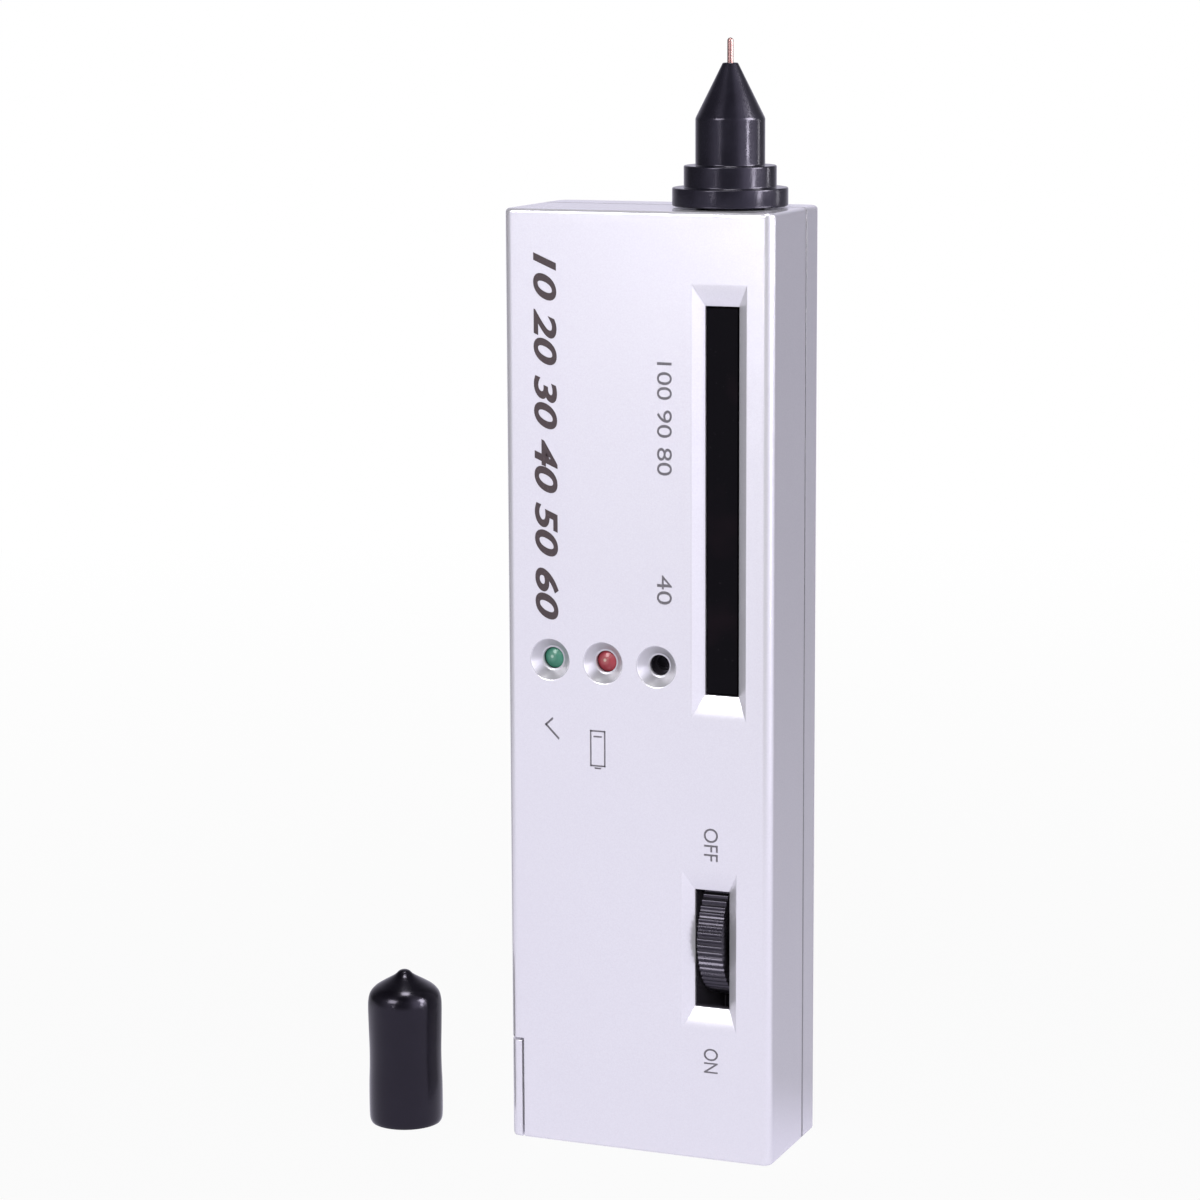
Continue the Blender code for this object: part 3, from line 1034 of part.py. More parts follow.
def make_wires():
    """Leads from the snap, the wheel's board and the nose plug to the main board."""
    behind = BOARD_Y1 + FIT
    deep = (BOARD_Y1 + INNER_REAR) / 2
    start_y = SNAP_DEPTH / 2 - 2 * POWER_WIRE_RADIUS
    solder_z = BOARD_Z0 + BOARD_SCREW_FOOT
    post_side = POST_RADIUS + FIT + POWER_WIRE_RADIUS - CASE_SCREW_X
    for name, side, x, colour in (("battery_wire_black", -1, post_side, BLACK_WIRE),
                                  ("battery_wire_red", 1, post_side + TERMINAL_SPACING, RED_WIRE)):
        snap_x = BATTERY_X + side * TERMINAL_SPACING / 2
        route = [(snap_x, start_y, SNAP_Z1 + FIT), (snap_x, start_y, SHELF_Z1),
                 (x, deep, (SHELF_Z1 + BOARD_Z0) / 2), (x, deep, BOARD_Z0),
                 (x, (deep + behind) / 2, solder_z), (x, behind, solder_z)]
        finish(tube(name, smooth_route(route), POWER_WIRE_RADIUS), colour, body)

    near = BOARD_Y0 - FIT
    board_top = WHEEL_HEIGHT + POT_BOARD_LENGTH / 2
    start_z = board_top - POT_BOARD_GUIDE / 2
    guide_x = X_RIGHT - WALL - POT_BOARD_GUIDE - 2 * SIGNAL_WIRE_RADIUS
    pass_x = CASE_SCREW_X - BOSS_RADIUS - 2 * SIGNAL_WIRE_RADIUS
    for index in range(3):
        y = WHEEL_Y - (2 - index) * WIRE_DEPTH_SHARE * SIGNAL_WIRE_RADIUS
        x = pass_x - index * WIRE_SIDE_SHARE * SIGNAL_WIRE_RADIUS
        route = [(POT_BOARD_X0 - FIT, y, start_z), (guide_x, y, start_z + 2 * SIGNAL_WIRE_RADIUS),
                 (guide_x, y, board_top + 2 * RIB), (x, y, (board_top + LOW_SCREW_Z) / 2),
                 (x, y, LOW_SCREW_Z), (x, y, BOARD_Z0), (x, (y + near) / 2, solder_z), (x, near, solder_z)]
        finish(tube(f"wheel_wire_{index + 1}", smooth_route(route), SIGNAL_WIRE_RADIUS), WHITE_WIRE, body)

    reach = (NECK_BORE_RADIUS + TAIL_RADIUS) / 2
    top = PLUG_Z0 - FIT
    end_z = BOARD_Z1 - BOARD_SCREW_INSET
    low_z = end_z - WIRE_DEPTH_SHARE * SIGNAL_WIRE_RADIUS
    x = (MIDDLE_BOSS_X + BOSS_RADIUS + WINDOW_X - WINDOW_WIDTH / 2 - PANE_RIM) / 2
    for name, dx, dy, z, colour in (("probe_wire_1", -reach, 0, end_z, RED_WIRE),
                                    ("probe_wire_2", 0, -reach, low_z, WHITE_WIRE)):
        bow = dy - reach
        route = [(NOSE_X + dx, dy, top), (NOSE_X + dx, dy - reach / 2, (top + BOARD_Z1) / 2),
                 ((NOSE_X + dx + x) / 2, bow, BOARD_Z1), (x, bow / 2, z), (x, near, z)]
        finish(tube(name, smooth_route(route), SIGNAL_WIRE_RADIUS), colour, body)


def make_cap():
    """Dip-moulded vinyl cap, standing on its open mouth."""
    wall = CAP_WALL
    # Radius and height of the outside, as shares of the cap's radius and height
    outside_shares = [(0.0, 1.0), (0.12, 0.995), (0.26, 0.973), (0.60, 0.918), (0.86, 0.868),
                      (0.975, 0.812), (1.0, 0.745), (0.975, 0.47), (0.978, 0.36), (0.998, 0.26),
                      (1.0, 0.12), (0.99, 0.045)]
    outside = [(radius * CAP_RADIUS, height * CAP_HEIGHT) for radius, height in outside_shares]
    straight = outside[5:]
    inside = [(radius - wall, height) for radius, height in reversed(straight)]
    ceiling = inside[-1][1]
    inside += [(CAP_RADIUS / 2, ceiling + wall), (0, ceiling + CAP_FLOOR)]
    mouth = [(CAP_RADIUS * outside_shares[-1][0] - CAP_MOUTH_EDGE / 2, 0), (inside[0][0], 0)]
    cap = turned("protective_cap", outside + mouth + inside, (CAP_X, CAP_Y, 0), FINE_SEGMENTS)
    return finish(cap, VINYL, cap_stand)


clear_scene()
tester = new_collection("diamond_tester")
guides = new_collection("diamond_tester_cutters")
body = empty("tester_body", (0, 0, 0))
wheel_axis = empty("wheel_axis", (WHEEL_X, WHEEL_Y, WHEEL_HEIGHT))
probe_axis = empty("probe_axis", (NOSE_X, 0, COLLAR_Z0))
door_slide = empty("door_slide", (0, 0, 0))
cap_stand = empty("cap_stand", (CAP_X, CAP_Y, 0))

make_front_shell()
make_rear_shell()
make_battery_door()
make_display_window()
make_main_board()
make_lamp("ready_led", DISH_XS[0], GREEN_LENS)
make_lamp("low_battery_led", DISH_XS[1], RED_LENS)
make_level_leds()
make_buzzer()
make_board_parts()
make_screws()
make_thumbwheel()
make_potentiometer()
make_nose()
make_probe()
make_battery()
make_wires()
make_cap()
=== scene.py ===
"""Looks of a handheld gemstone tester with its nose cap beside it.

Metres, +Z up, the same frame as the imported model: the front face looks along -Y.
"""
import math

import bmesh
import bpy
from mathutils import Euler, Matrix, Vector


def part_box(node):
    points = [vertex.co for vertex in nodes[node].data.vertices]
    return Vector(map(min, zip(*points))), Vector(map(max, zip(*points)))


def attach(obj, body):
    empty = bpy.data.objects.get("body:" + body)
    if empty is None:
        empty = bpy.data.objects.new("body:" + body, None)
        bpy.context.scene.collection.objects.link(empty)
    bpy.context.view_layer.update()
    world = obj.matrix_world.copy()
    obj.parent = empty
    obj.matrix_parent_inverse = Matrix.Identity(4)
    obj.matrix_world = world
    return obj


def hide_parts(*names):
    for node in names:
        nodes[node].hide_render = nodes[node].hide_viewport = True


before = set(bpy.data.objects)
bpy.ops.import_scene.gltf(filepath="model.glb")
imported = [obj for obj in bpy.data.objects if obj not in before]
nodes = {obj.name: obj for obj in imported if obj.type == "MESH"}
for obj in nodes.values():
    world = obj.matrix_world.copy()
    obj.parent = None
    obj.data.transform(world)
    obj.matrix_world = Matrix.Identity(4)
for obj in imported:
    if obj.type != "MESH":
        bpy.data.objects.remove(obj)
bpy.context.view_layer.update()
MM = 0.001

# Camera, in millimetres and degrees
CAMERA_PLACE = (191.804, -497.136, 175.374)
CAMERA_AZIMUTH = 22.129
CAMERA_DOWN = 9.852
CAMERA_ROLL = -0.275
CAMERA_LENS = 108.03
SENSOR_WIDTH = 36.0

# Light: azimuths in degrees, 0 in front of the tester and growing towards its right side
AMBIENT = 0.35
OVERHEAD = 0.28
OVERHEAD_FROM = 0.4
OVERHEAD_TO = 0.9
# The floor: its own tone, how far out it turns white, and how bright it mirrors near the tester
FLOOR_SIZE = 8.0
FLOOR_GLOW = 0.95
FLOOR_GLOW_FROM = 0.1
FLOOR_GLOW_TO = 0.6
FLOOR_TONE = 0.35
FLOOR_NEAR_LEVEL = 1.5
FLOOR_BESIDE = 0.34
FLOOR_BESIDE_REACH = 0.03
FLOOR_BLEND_FROM = 0.05
FLOOR_BLEND = 0.4
# Azimuth and brightness of what the tester mirrors
SURROUNDINGS = ((-180, 0.80), (-158, 0.92), (-130, 0.55), (-100, 0.10), (-60, 0.24), (-22, 1.08),
                (-5, 0.25), (6, 0.16), (26, 0.16), (42, 0.60), (60, 2.30), (84, 2.60), (104, 2.00),
                (124, 0.80), (142, 0.36), (160, 0.33), (180, 0.80))
SURROUNDINGS_TINT = (0.87, 0.84, 1.0)
SURROUNDINGS_PEAK = 3.0
LIGHT_DISTANCE = 1.15
LIGHT_TARGET = Vector((0, 0, 0.07))
# Softboxes that light the tester: azimuth, distance, bottom, top, width and watts
LIGHTS = {
    "key_light": (16, LIGHT_DISTANCE, 0.2, 1.0, 0.6, 12.5),
    "top_light": (-40, 0.25, 0.95, 1.25, 0.4, 1.4),
    "left_light": (-110, LIGHT_DISTANCE, 0.1, 0.7, 0.4, 1.0),
    "back_light": (-150, LIGHT_DISTANCE, 0.2, 0.8, 0.6, 2.5),
}
# Softboxes that show only in its gloss
MIRRORED_BOXES = {
    "left_strip": (-14, LIGHT_DISTANCE, 0.09, 0.15, 0.06, 0.22),
    "right_strip": (80, LIGHT_DISTANCE, 0.05, 0.22, 0.1, 1.7),
    "rim_strip": (128, LIGHT_DISTANCE, 0.02, 0.30, 0.05, 0.5),
    "left_box": (-20, LIGHT_DISTANCE, 0.42, 0.95, 0.55, 9.5),
    "right_box": (92, LIGHT_DISTANCE, 0.30, 0.90, 0.6, 24.0),
    "top_box": (22, 0.05, 1.0, 1.3, 0.3, 5.0),
}

# Sizes that the frame's boxes don't give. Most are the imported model's. The seam groove is shallower,
# and the fine rounding, the ledges in the dishes and what the lamps hold are this file's own.
FRONT_EDGE_RADIUS = 1.4 * MM
FRONT_EDGE_STEPS = 12
REAR_EDGE_RADIUS = 2.6 * MM
REAR_EDGE_STEPS = 16
TOP_EDGE_RADIUS = 0.6 * MM
TOP_EDGE_STEPS = 6
BOTTOM_EDGE_RADIUS = 0.3 * MM
BOTTOM_EDGE_STEPS = 3
FINE_ROUND = 0.09 * MM
WELD_REACH = 0.002 * MM
WALL = 1.7 * MM
FIT = 0.3 * MM
OVERRUN = 2.0 * MM
BITE = 0.2 * MM
HAIR = 0.02 * MM
RIB = 1.0 * MM
SEAM_GROOVE = 0.12 * MM
DOOR_THICKNESS = 1.9 * MM
DOOR_CORNER_RADIUS = 1.1 * MM
GRIP_COUNT = 6
GRIP_PITCH = 1.3 * MM
GRIP_WIDTH = 0.6 * MM
GRIP_DEPTH = 0.3 * MM
GRIP_FOOT = 7.0 * MM
WHEEL_SIDE_GAP = 0.7 * MM

# Recesses and dishes in the front face
RECESS_DEPTH = 1.5 * MM
RECESS_SIDE = 1.65 * MM
RECESS_END = 3.2 * MM
PAD_WALL = 1.5 * MM
WHEEL_SLOT_GAP = 0.6 * MM
WHEEL_SLOT_LENGTH = 18.0 * MM
WHEEL_SLOT_DROP = 1.1 * MM
DISH_RADIUS = 3.15 * MM
DISH_DEPTH = 1.4 * MM
DISH_PAD_WALL = 1.1 * MM
DISH_LEDGE = 0.25 * MM
LENS_HOLE_RADIUS = 2.1 * MM
LENS_RIM_RADIUS = 1.62 * MM
# Where the painted glint sits on each lens
LENS_GLINT = (-0.3 * MM, 0.15 * MM, 0)
LENS_PLAY = 0.05 * MM
LENS_RISE = 0.25 * MM
LENS_CURVE = 2.4 * MM
SOUND_HOLE_RADIUS = 1.55 * MM
WINDOW_WIDTH = 5.2 * MM
PANE_RIM = 1.3 * MM
PAD_MARGIN = 2.0 * MM

# Screw wells and lips of the rear casing
SCREW_SUNK = 4.5 * MM
WELL_RADIUS = 2.2 * MM
LIP_HEIGHT = 1.5 * MM

# Turned pieces
NOSE_EDGE_RADIUS = 0.25 * MM
LOWER_FLANGE_RADIUS = 8.5 * MM
LOWER_FLANGE_HEIGHT = 3.0 * MM
UPPER_FLANGE_RADIUS = 6.8 * MM
UPPER_FLANGE_HEIGHT = 3.2 * MM
BARREL_RADIUS = 5.1 * MM
BARREL_HEIGHT = 6.8 * MM
CONE_TIP_RADIUS = 1.1 * MM
NECK_RADIUS = 5.0 * MM
NECK_BORE_RADIUS = 3.3 * MM
GUIDE_BORE_RADIUS = 1.9 * MM
GUIDE_LENGTH = 4.2 * MM
TIP_BELOW_CONE = 8.9 * MM
TIP_RADIUS = 0.45 * MM
SHANK_RADIUS = 1.3 * MM
SHANK_LENGTH = 5.2 * MM
COLLAR_THICKNESS = 1.0 * MM
TAIL_RADIUS = 1.0 * MM
CAP_WALL = 0.55 * MM
CAP_FLOOR = 1.0 * MM
CAP_MOUTH_EDGE = 0.5 * MM
WHEEL_RIB_COUNT = 60
WHEEL_RIB_DEPTH = 0.3 * MM
WHEEL_RIB_EDGE = 0.18 * MM
WHEEL_RIM = 1.8 * MM
WHEEL_HUB_RADIUS = 3.4 * MM
WHEEL_DISH_DEPTH = 1.0 * MM
WHEEL_HEAD_RECESS = 1.2 * MM
WHEEL_WEB = 0.8 * MM
WHEEL_HEAD_BORE = 2.2 * MM
WHEEL_WEB_BORE = 1.1 * MM
WHEEL_STUB_BORE = 2.3 * MM
LED_RADIUS = 2.5 * MM
LED_FLANGE_RADIUS = 2.9 * MM
LED_FLANGE_THICKNESS = 1.0 * MM
LED_LENGTH = 6.1 * MM
CUP_RADIUS = 1.05 * MM
CUP_RIM = 0.12 * MM
CUP_TOP = -0.2 * MM
CUP_FLOOR = -0.9 * MM
CUP_FLOOR_RADIUS = 0.45 * MM
CUP_NECK = -1.4 * MM
POST_RADIUS = 0.7 * MM
POST_FOOT = -3.6 * MM
DIE_RADIUS = 0.24 * MM
DIE_CROWN_RADIUS = 0.16 * MM
DIE_TOP = -0.62 * MM
DIE_CROWN = -0.66 * MM
DIE_SHOULDER = -0.8 * MM
DIE_FOOT = -0.89 * MM

# Silver paint outside and in the dishes, the painted shade that darkens the dishes, and how much painted
# shade darkens the seam groove
SATIN = 0.23
PAINT_METAL = 0.55
BARE_PLASTIC_AND_SEAM_SHADE = (0.06, 0.054, 0.068)
DISH_ROUGHNESS = 0.34
DISH_PAINTED_SHADE = 0.69
DISH_METAL = 0.62
SEAM_PAINTED_SHADE = 0.55

# Print: how far it stands out, and half a mark's depth before it is fitted to the face
PRINT_PROUD = 0.03 * MM
MARK_HALF_DEPTH = 0.01
# Places are left, right, top and bottom on the front face, in millimetres
GREY_WORDS = {
    "off_mark": ("OFF", (10.52, 12.73, 51.02, 46.05)),
    "on_mark": ("ON", (10.52, 12.76, 17.28, 13.5)),
    "scale_upper": ("100 90 80", (3.22, 5.53, 119.88, 103.28)),
    "scale_lower": ("40", (3.15, 5.5, 88.5, 84.17)),
}
LONG_SCALE = "10 20 30 40 50 60"
LONG_SCALE_LEAN = 0.28
LONG_SCALE_WEIGHT = 0.026
LONG_SCALE_PLACE = (-16.24, -12.5, 135.36, 80.8)
TICK = [[(0, 0.5), (0.35, 0), (1.1, 1.0)]]
TICK_WIDTH = 0.13
TICK_PLACE = (-14.87, -12.5, 66.0, 62.6)
BATTERY_MARK = [[(0, 0), (2.2, 0), (2.2, 1), (0, 1), (0, 0)], [(2.35, 0.32), (2.35, 0.68)],
                [(0.35, 0.25), (0.35, 0.75)]]
BATTERY_MARK_WIDTH = 0.1
BATTERY_MARK_PLACE = (-7.59, -5.12, 64.5, 58.6)


def low(node):
    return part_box(node)[0]


def high(node):
    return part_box(node)[1]


def middle(node):
    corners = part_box(node)
    return (corners[0] + corners[1]) / 2


# Sizes that follow the frame
X_RIGHT = high("rear_shell").x
X_LEFT = -X_RIGHT
Y_FRONT = low("front_shell").y
Y_REAR = high("rear_shell").y
SEAM_Y = high("front_shell").y
REAR_SHELL_Y = SEAM_Y + FIT
BODY_HEIGHT = high("front_shell").z
INNER_FRONT = Y_FRONT + WALL
INNER_REAR = Y_REAR - WALL
RECESS_Y = Y_FRONT + RECESS_DEPTH
PAD_Y = RECESS_Y + PAD_WALL
DISH_PAD_Y = Y_FRONT + DISH_DEPTH + DISH_PAD_WALL
DOOR_TOP = high("battery_door").z
WINDOW_X = middle("display_window").x
WINDOW_Z0 = low("display_window").z + PANE_RIM
WINDOW_Z1 = high("display_window").z - PANE_RIM
WHEEL = middle("thumbwheel")
WHEEL_X0 = low("thumbwheel").x
WHEEL_X1 = high("thumbwheel").x
WHEEL_RADIUS = high("thumbwheel").z - WHEEL.z
SLOT_Z = WHEEL.z - WHEEL_SLOT_DROP
BAY_X1 = WHEEL_X0 - WHEEL_SIDE_GAP
BAY_X0 = BAY_X1 - RIB
NOSE_X = middle("nose_cone").x
NOSE_TOP = high("nose_cone").z
NOSE_BASE = low("nose_cone").z
LAMP_Z = middle("ready_led").z
DISH_XS = [middle(node).x for node in ("ready_led", "low_battery_led", "buzzer")]


class Nodes:
    """Short helpers for building a node tree."""

    def __init__(self, tree):
        self.tree = tree

    def add(self, kind, inputs=None, **settings):
        node = self.tree.nodes.new(kind)
        for label, value in settings.items():
            setattr(node, label, value)
        for socket, value in (inputs or {}).items():
            if isinstance(value, bpy.types.NodeSocket):
                self.tree.links.new(value, node.inputs[socket])
            else:
                node.inputs[socket].default_value = value
        return node

    def span(self, value, from_low, from_high, to_low, to_high):
        inputs = {"Value": value, "From Min": from_low, "From Max": from_high, "To Min": to_low,
                  "To Max": to_high}
        return self.add("ShaderNodeMapRange", inputs).outputs["Result"]

    def maths(self, operation, first, second):
        return self.add("ShaderNodeMath", {0: first, 1: second}, operation=operation).outputs[0]

    def vector_maths(self, operation, *vectors):
        inputs = dict(enumerate(vectors))
        return self.add("ShaderNodeVectorMath", inputs, operation=operation).outputs["Value"]

    def axes(self, vector):
        return self.add("ShaderNodeSeparateXYZ", {0: vector}).outputs

    def mix(self, factor, first, second):
        """Blend of two colours, each a tuple or a socket."""
        inputs = {0: factor}
        for socket, value in ((6, first), (7, second)):
            inputs[socket] = value if isinstance(value, bpy.types.NodeSocket) else (*value, 1)
        return self.add("ShaderNodeMix", inputs, data_type="RGBA").outputs[2]


class Paint(Nodes):
    """Principled material with short helpers for what feeds it."""

    def __init__(self, name, colour, roughness, metallic=0.0, **sockets):
        self.material = bpy.data.materials.new(name)
        self.material.use_nodes = True
        super().__init__(self.material.node_tree)
        self.shader = self.tree.nodes["Principled BSDF"]
        self.shader.inputs["Base Color"].default_value = (*colour, 1)
        self.shader.inputs["Roughness"].default_value = roughness
        self.shader.inputs["Metallic"].default_value = metallic
        for label, value in sockets.items():
            self.shader.inputs[label.replace("_", " ")].default_value = value
        self.place = self.tree.nodes.new("ShaderNodeTexCoord").outputs["Object"]

    def feed(self, socket, value):
        self.tree.links.new(value, self.shader.inputs[socket])

    def stretched(self, scale):
        return self.add("ShaderNodeMapping", {"Vector": self.place, "Scale": scale}).outputs["Vector"]

    def noise(self, scale, detail, roughness, vector=None):
        inputs = {"Vector": vector or self.place, "Scale": scale, "Detail": detail, "Roughness": roughness}
        return self.add("ShaderNodeTexNoise", inputs).outputs["Fac"]

    def edges(self, reach):
        """1 on convex edges and 0 on faces."""
        flat = 0.97
        sharp = 0.75
        bevel = self.add("ShaderNodeBevel", {"Radius": reach}, samples=6).outputs["Normal"]
        true_normal = self.add("ShaderNodeNewGeometry").outputs["Normal"]
        dot = self.vector_maths("DOT_PRODUCT", bevel, true_normal)
        return self.span(dot, flat, sharp, 0.0, 1.0)

    def bump(self, height, distance, strength):
        inputs = {"Height": height, "Distance": distance, "Strength": strength}
        return self.add("ShaderNodeBump", inputs).outputs["Normal"]


def shade(colour, share):
    return tuple(min(1.0, channel * share) for channel in colour)


def inside_walls(paint, spot):
    """1 where the paint doesn't reach inside the casing, and part of that as painted shade in the seam
    groove.
    """
    darkened = paint.span(spot["Y"], RECESS_Y + BITE, RECESS_Y + 2 * BITE, 0.0, 1.0)
    across = paint.maths("ABSOLUTE", spot["X"], 0.0)
    walls = ((spot["Y"], Y_REAR, Y_REAR - WALL), (across, X_RIGHT, X_RIGHT - WALL),
             (spot["Z"], BODY_HEIGHT, BODY_HEIGHT - WALL), (spot["Z"], 0.0, WALL))
    for value, outside, inside in walls:
        depth = inside - outside
        inner = paint.span(value, outside + depth * 0.6, outside + depth * 0.8, 0.0, 1.0)
        darkened = paint.maths("MULTIPLY", darkened, inner)
    # Painted shade: the seam groove is made darker and less metallic
    off_seam = paint.maths("ABSOLUTE", paint.maths("SUBTRACT", spot["Y"], SEAM_Y + FIT / 2), 0.0)
    seam_shade = paint.span(off_seam, SEAM_GROOVE + FIT, SEAM_GROOVE + FIT / 2, 0.0, SEAM_PAINTED_SHADE)
    return paint.maths("MAXIMUM", darkened, seam_shade)


def inside_dishes(paint, spot):
    """1 in the row of round dishes, and 0 on the rest of the casing."""
    off_lamps = paint.maths("ABSOLUTE", paint.maths("SUBTRACT", spot["Z"], LAMP_Z), 0.0)
    left = DISH_XS[0] - DISH_RADIUS
    right = DISH_XS[-1] + DISH_RADIUS
    share = paint.span(off_lamps, DISH_RADIUS + BITE, DISH_RADIUS, 0.0, 1.0)
    for value, outside, inside in ((spot["X"], right + BITE, right), (spot["X"], left - BITE, left),
                                   (spot["Y"], Y_FRONT, Y_FRONT + BITE),
                                   (spot["Y"], RECESS_Y + BITE, RECESS_Y)):
        share = paint.maths("MULTIPLY", share, paint.span(value, outside, inside, 0.0, 1.0))
    return share


def silver_paint():
    """Satin silver paint, with fine flake and an uneven gloss, on dark plastic left unpainted inside;
    painted shade darkens the dishes and the seam groove.
    """
    colour = (0.885, 0.872, 0.915)
    paint = Paint("silver_paint", colour, SATIN, PAINT_METAL)
    flake = paint.noise(4200, 2.0, 0.7)
    cloud = paint.noise(38, 4.0, 0.6)
    handled = paint.noise(420, 4.0, 0.6)
    tone = paint.mix(paint.span(flake, 0.3, 0.7, 0.0, 1.0), shade(colour, 0.96), shade(colour, 1.04))
    outer = paint.mix(paint.span(cloud, 0.35, 0.7, 0.0, 0.3), tone, shade(colour, 0.95))
    spot = paint.axes(paint.place)
    darkened = inside_walls(paint, spot)
    in_dish = inside_dishes(paint, spot)
    # Painted shade: the paint in the dishes is made darker
    outer = paint.mix(in_dish, outer, shade(colour, DISH_PAINTED_SHADE))
    # The inside walls take the dark plastic colour, and the seam groove takes part of it as painted shade
    paint.feed("Base Color", paint.mix(darkened, outer, BARE_PLASTIC_AND_SEAM_SHADE))
    metal_share = paint.span(in_dish, 0.0, 1.0, PAINT_METAL, DISH_METAL)
    paint.feed("Metallic", paint.maths("MULTIPLY", metal_share, paint.span(darkened, 0.0, 1.0, 1.0, 0.0)))
    uneven = paint.maths("ADD", paint.span(cloud, 0.3, 0.7, -0.015, 0.02),
                         paint.span(handled, 0.3, 0.7, -0.01, 0.015))
    gloss = paint.span(in_dish, 0.0, 1.0, SATIN, DISH_ROUGHNESS)
    paint.feed("Roughness", paint.maths("ADD", uneven, gloss))
    paint.feed("Normal", paint.bump(flake, 0.00003, 0.2))
    return paint.material


def black_plastic(name, colour, roughness, grain_scale, grain_depth, gloss_spread, specular):
    """Moulded black plastic with a fine grain, handling marks and paler worn edges."""
    paint = Paint(name, colour, roughness, Specular_IOR_Level=specular, Specular_Tint=(0.88, 0.82, 1.0, 1))
    grain = paint.noise(grain_scale, 3.0, 0.6)
    smear = paint.noise(180, 4.0, 0.6)
    worn = tuple(channel * 2.5 + 0.006 for channel in colour)
    mottled = paint.mix(paint.span(smear, 0.35, 0.7, 0.0, 1.0), colour, shade(colour, 1.6))
    paint.feed("Base Color", paint.mix(paint.maths("MULTIPLY", paint.edges(0.12 * MM), 0.5), mottled, worn))
    paint.feed("Roughness", paint.span(smear, 0.3, 0.7, roughness - gloss_spread, roughness + gloss_spread))
    paint.feed("Normal", paint.bump(grain, grain_depth, 0.4))
    return paint.material


def metal(name, colour, roughness, brushed=(1, 1, 1)):
    """Turned or plated metal: fine tool marks, uneven gloss and slight tarnish."""
    paint = Paint(name, colour, roughness, 1.0)
    marks = paint.noise(900, 4.0, 0.6, paint.stretched(brushed))
    stain = paint.noise(260, 3.0, 0.6)
    paint.feed("Base Color", paint.mix(paint.span(stain, 0.4, 0.75, 0.0, 0.8), colour, shade(colour, 0.72)))
    paint.feed("Roughness", paint.span(marks, 0.3, 0.7, roughness - 0.08, roughness + 0.12))
    paint.feed("Normal", paint.bump(marks, 0.00002, 0.3))
    return paint.material


def plain_plastic(name, colour, roughness, spread=0.12):
    """Small moulded or coated part: mottled colour, fine grain, uneven gloss."""
    paint = Paint(name, colour, roughness)
    grain = paint.noise(1400, 3.0, 0.6)
    cloud = paint.noise(220, 3.0, 0.6)
    paint.feed("Base Color", paint.mix(paint.span(cloud, 0.3, 0.7, 0.0, 1.0), shade(colour, 1 - spread),
                                       shade(colour, 1 + spread)))
    paint.feed("Roughness", paint.span(cloud, 0.3, 0.7, roughness - 0.05, roughness + 0.05))
    paint.feed("Normal", paint.bump(grain, 0.00002, 0.3))
    return paint.material


def lens_plastic(name, colour, deep, glow):
    """Milky tinted lens, glossy outside, with a painted pale glint left of the middle."""
    paint = Paint(name, colour, 0.2, Transmission_Weight=0.25, IOR=1.45)
    haze = paint.noise(420, 3.0, 0.6)
    tone = paint.mix(paint.span(haze, 0.3, 0.7, 0.0, 1.0), deep, colour)
    split = paint.axes(paint.place)
    flat = paint.add("ShaderNodeCombineXYZ", {"X": split["X"], "Y": split["Y"]}).outputs[0]
    away = paint.vector_maths("DISTANCE", flat, LENS_GLINT)
    rim = paint.vector_maths("LENGTH", flat)
    # Painted glint: a faint pale halo and a bright core left of the middle
    for faint, full, share in ((0.9 * MM, 0.2 * MM, 0.15), (0.3 * MM, 0.14 * MM, 0.9)):
        tone = paint.mix(paint.span(away, faint, full, 0.0, share), tone, glow)
    paint.feed("Base Color", paint.mix(paint.span(rim, 1.1 * MM, 1.6 * MM, 0.0, 0.5), tone, deep))
    paint.feed("Roughness", paint.span(haze, 0.3, 0.7, 0.14, 0.24))
    return paint.material


def window_plastic():
    """Smoked glossy pane with a faint tint inside and a trace of fine dust."""
    black = (0.0035, 0.003, 0.0045)
    paint = Paint("smoked_pane", black, 0.09, Specular_IOR_Level=0.06)
    dust = paint.noise(1500, 1.0, 0.4)
    smear = paint.noise(90, 4.0, 0.6)
    depth = paint.noise(120, 2.0, 0.5)
    tone = paint.mix(paint.span(depth, 0.55, 0.8, 0.0, 0.8), black, (0.011, 0.006, 0.009))
    paint.feed("Base Color", paint.mix(paint.span(dust, 0.70, 0.82, 0.0, 1.0), tone, (0.014, 0.012, 0.015)))
    paint.feed("Roughness", paint.span(smear, 0.3, 0.75, 0.07, 0.17))
    return paint.material


def ink(name, colour):
    """Screen-printed ink with slight pinholes."""
    paint = Paint(name, colour, 0.5)
    pinholes = paint.noise(2600, 2.0, 0.6)
    paler = tuple(channel * 1.5 + 0.02 for channel in colour)
    paint.feed("Base Color", paint.mix(paint.span(pinholes, 0.55, 0.75, 0.0, 0.6), colour, paler))
    paint.feed("Roughness", paint.span(pinholes, 0.3, 0.7, 0.45, 0.6))
    return paint.material


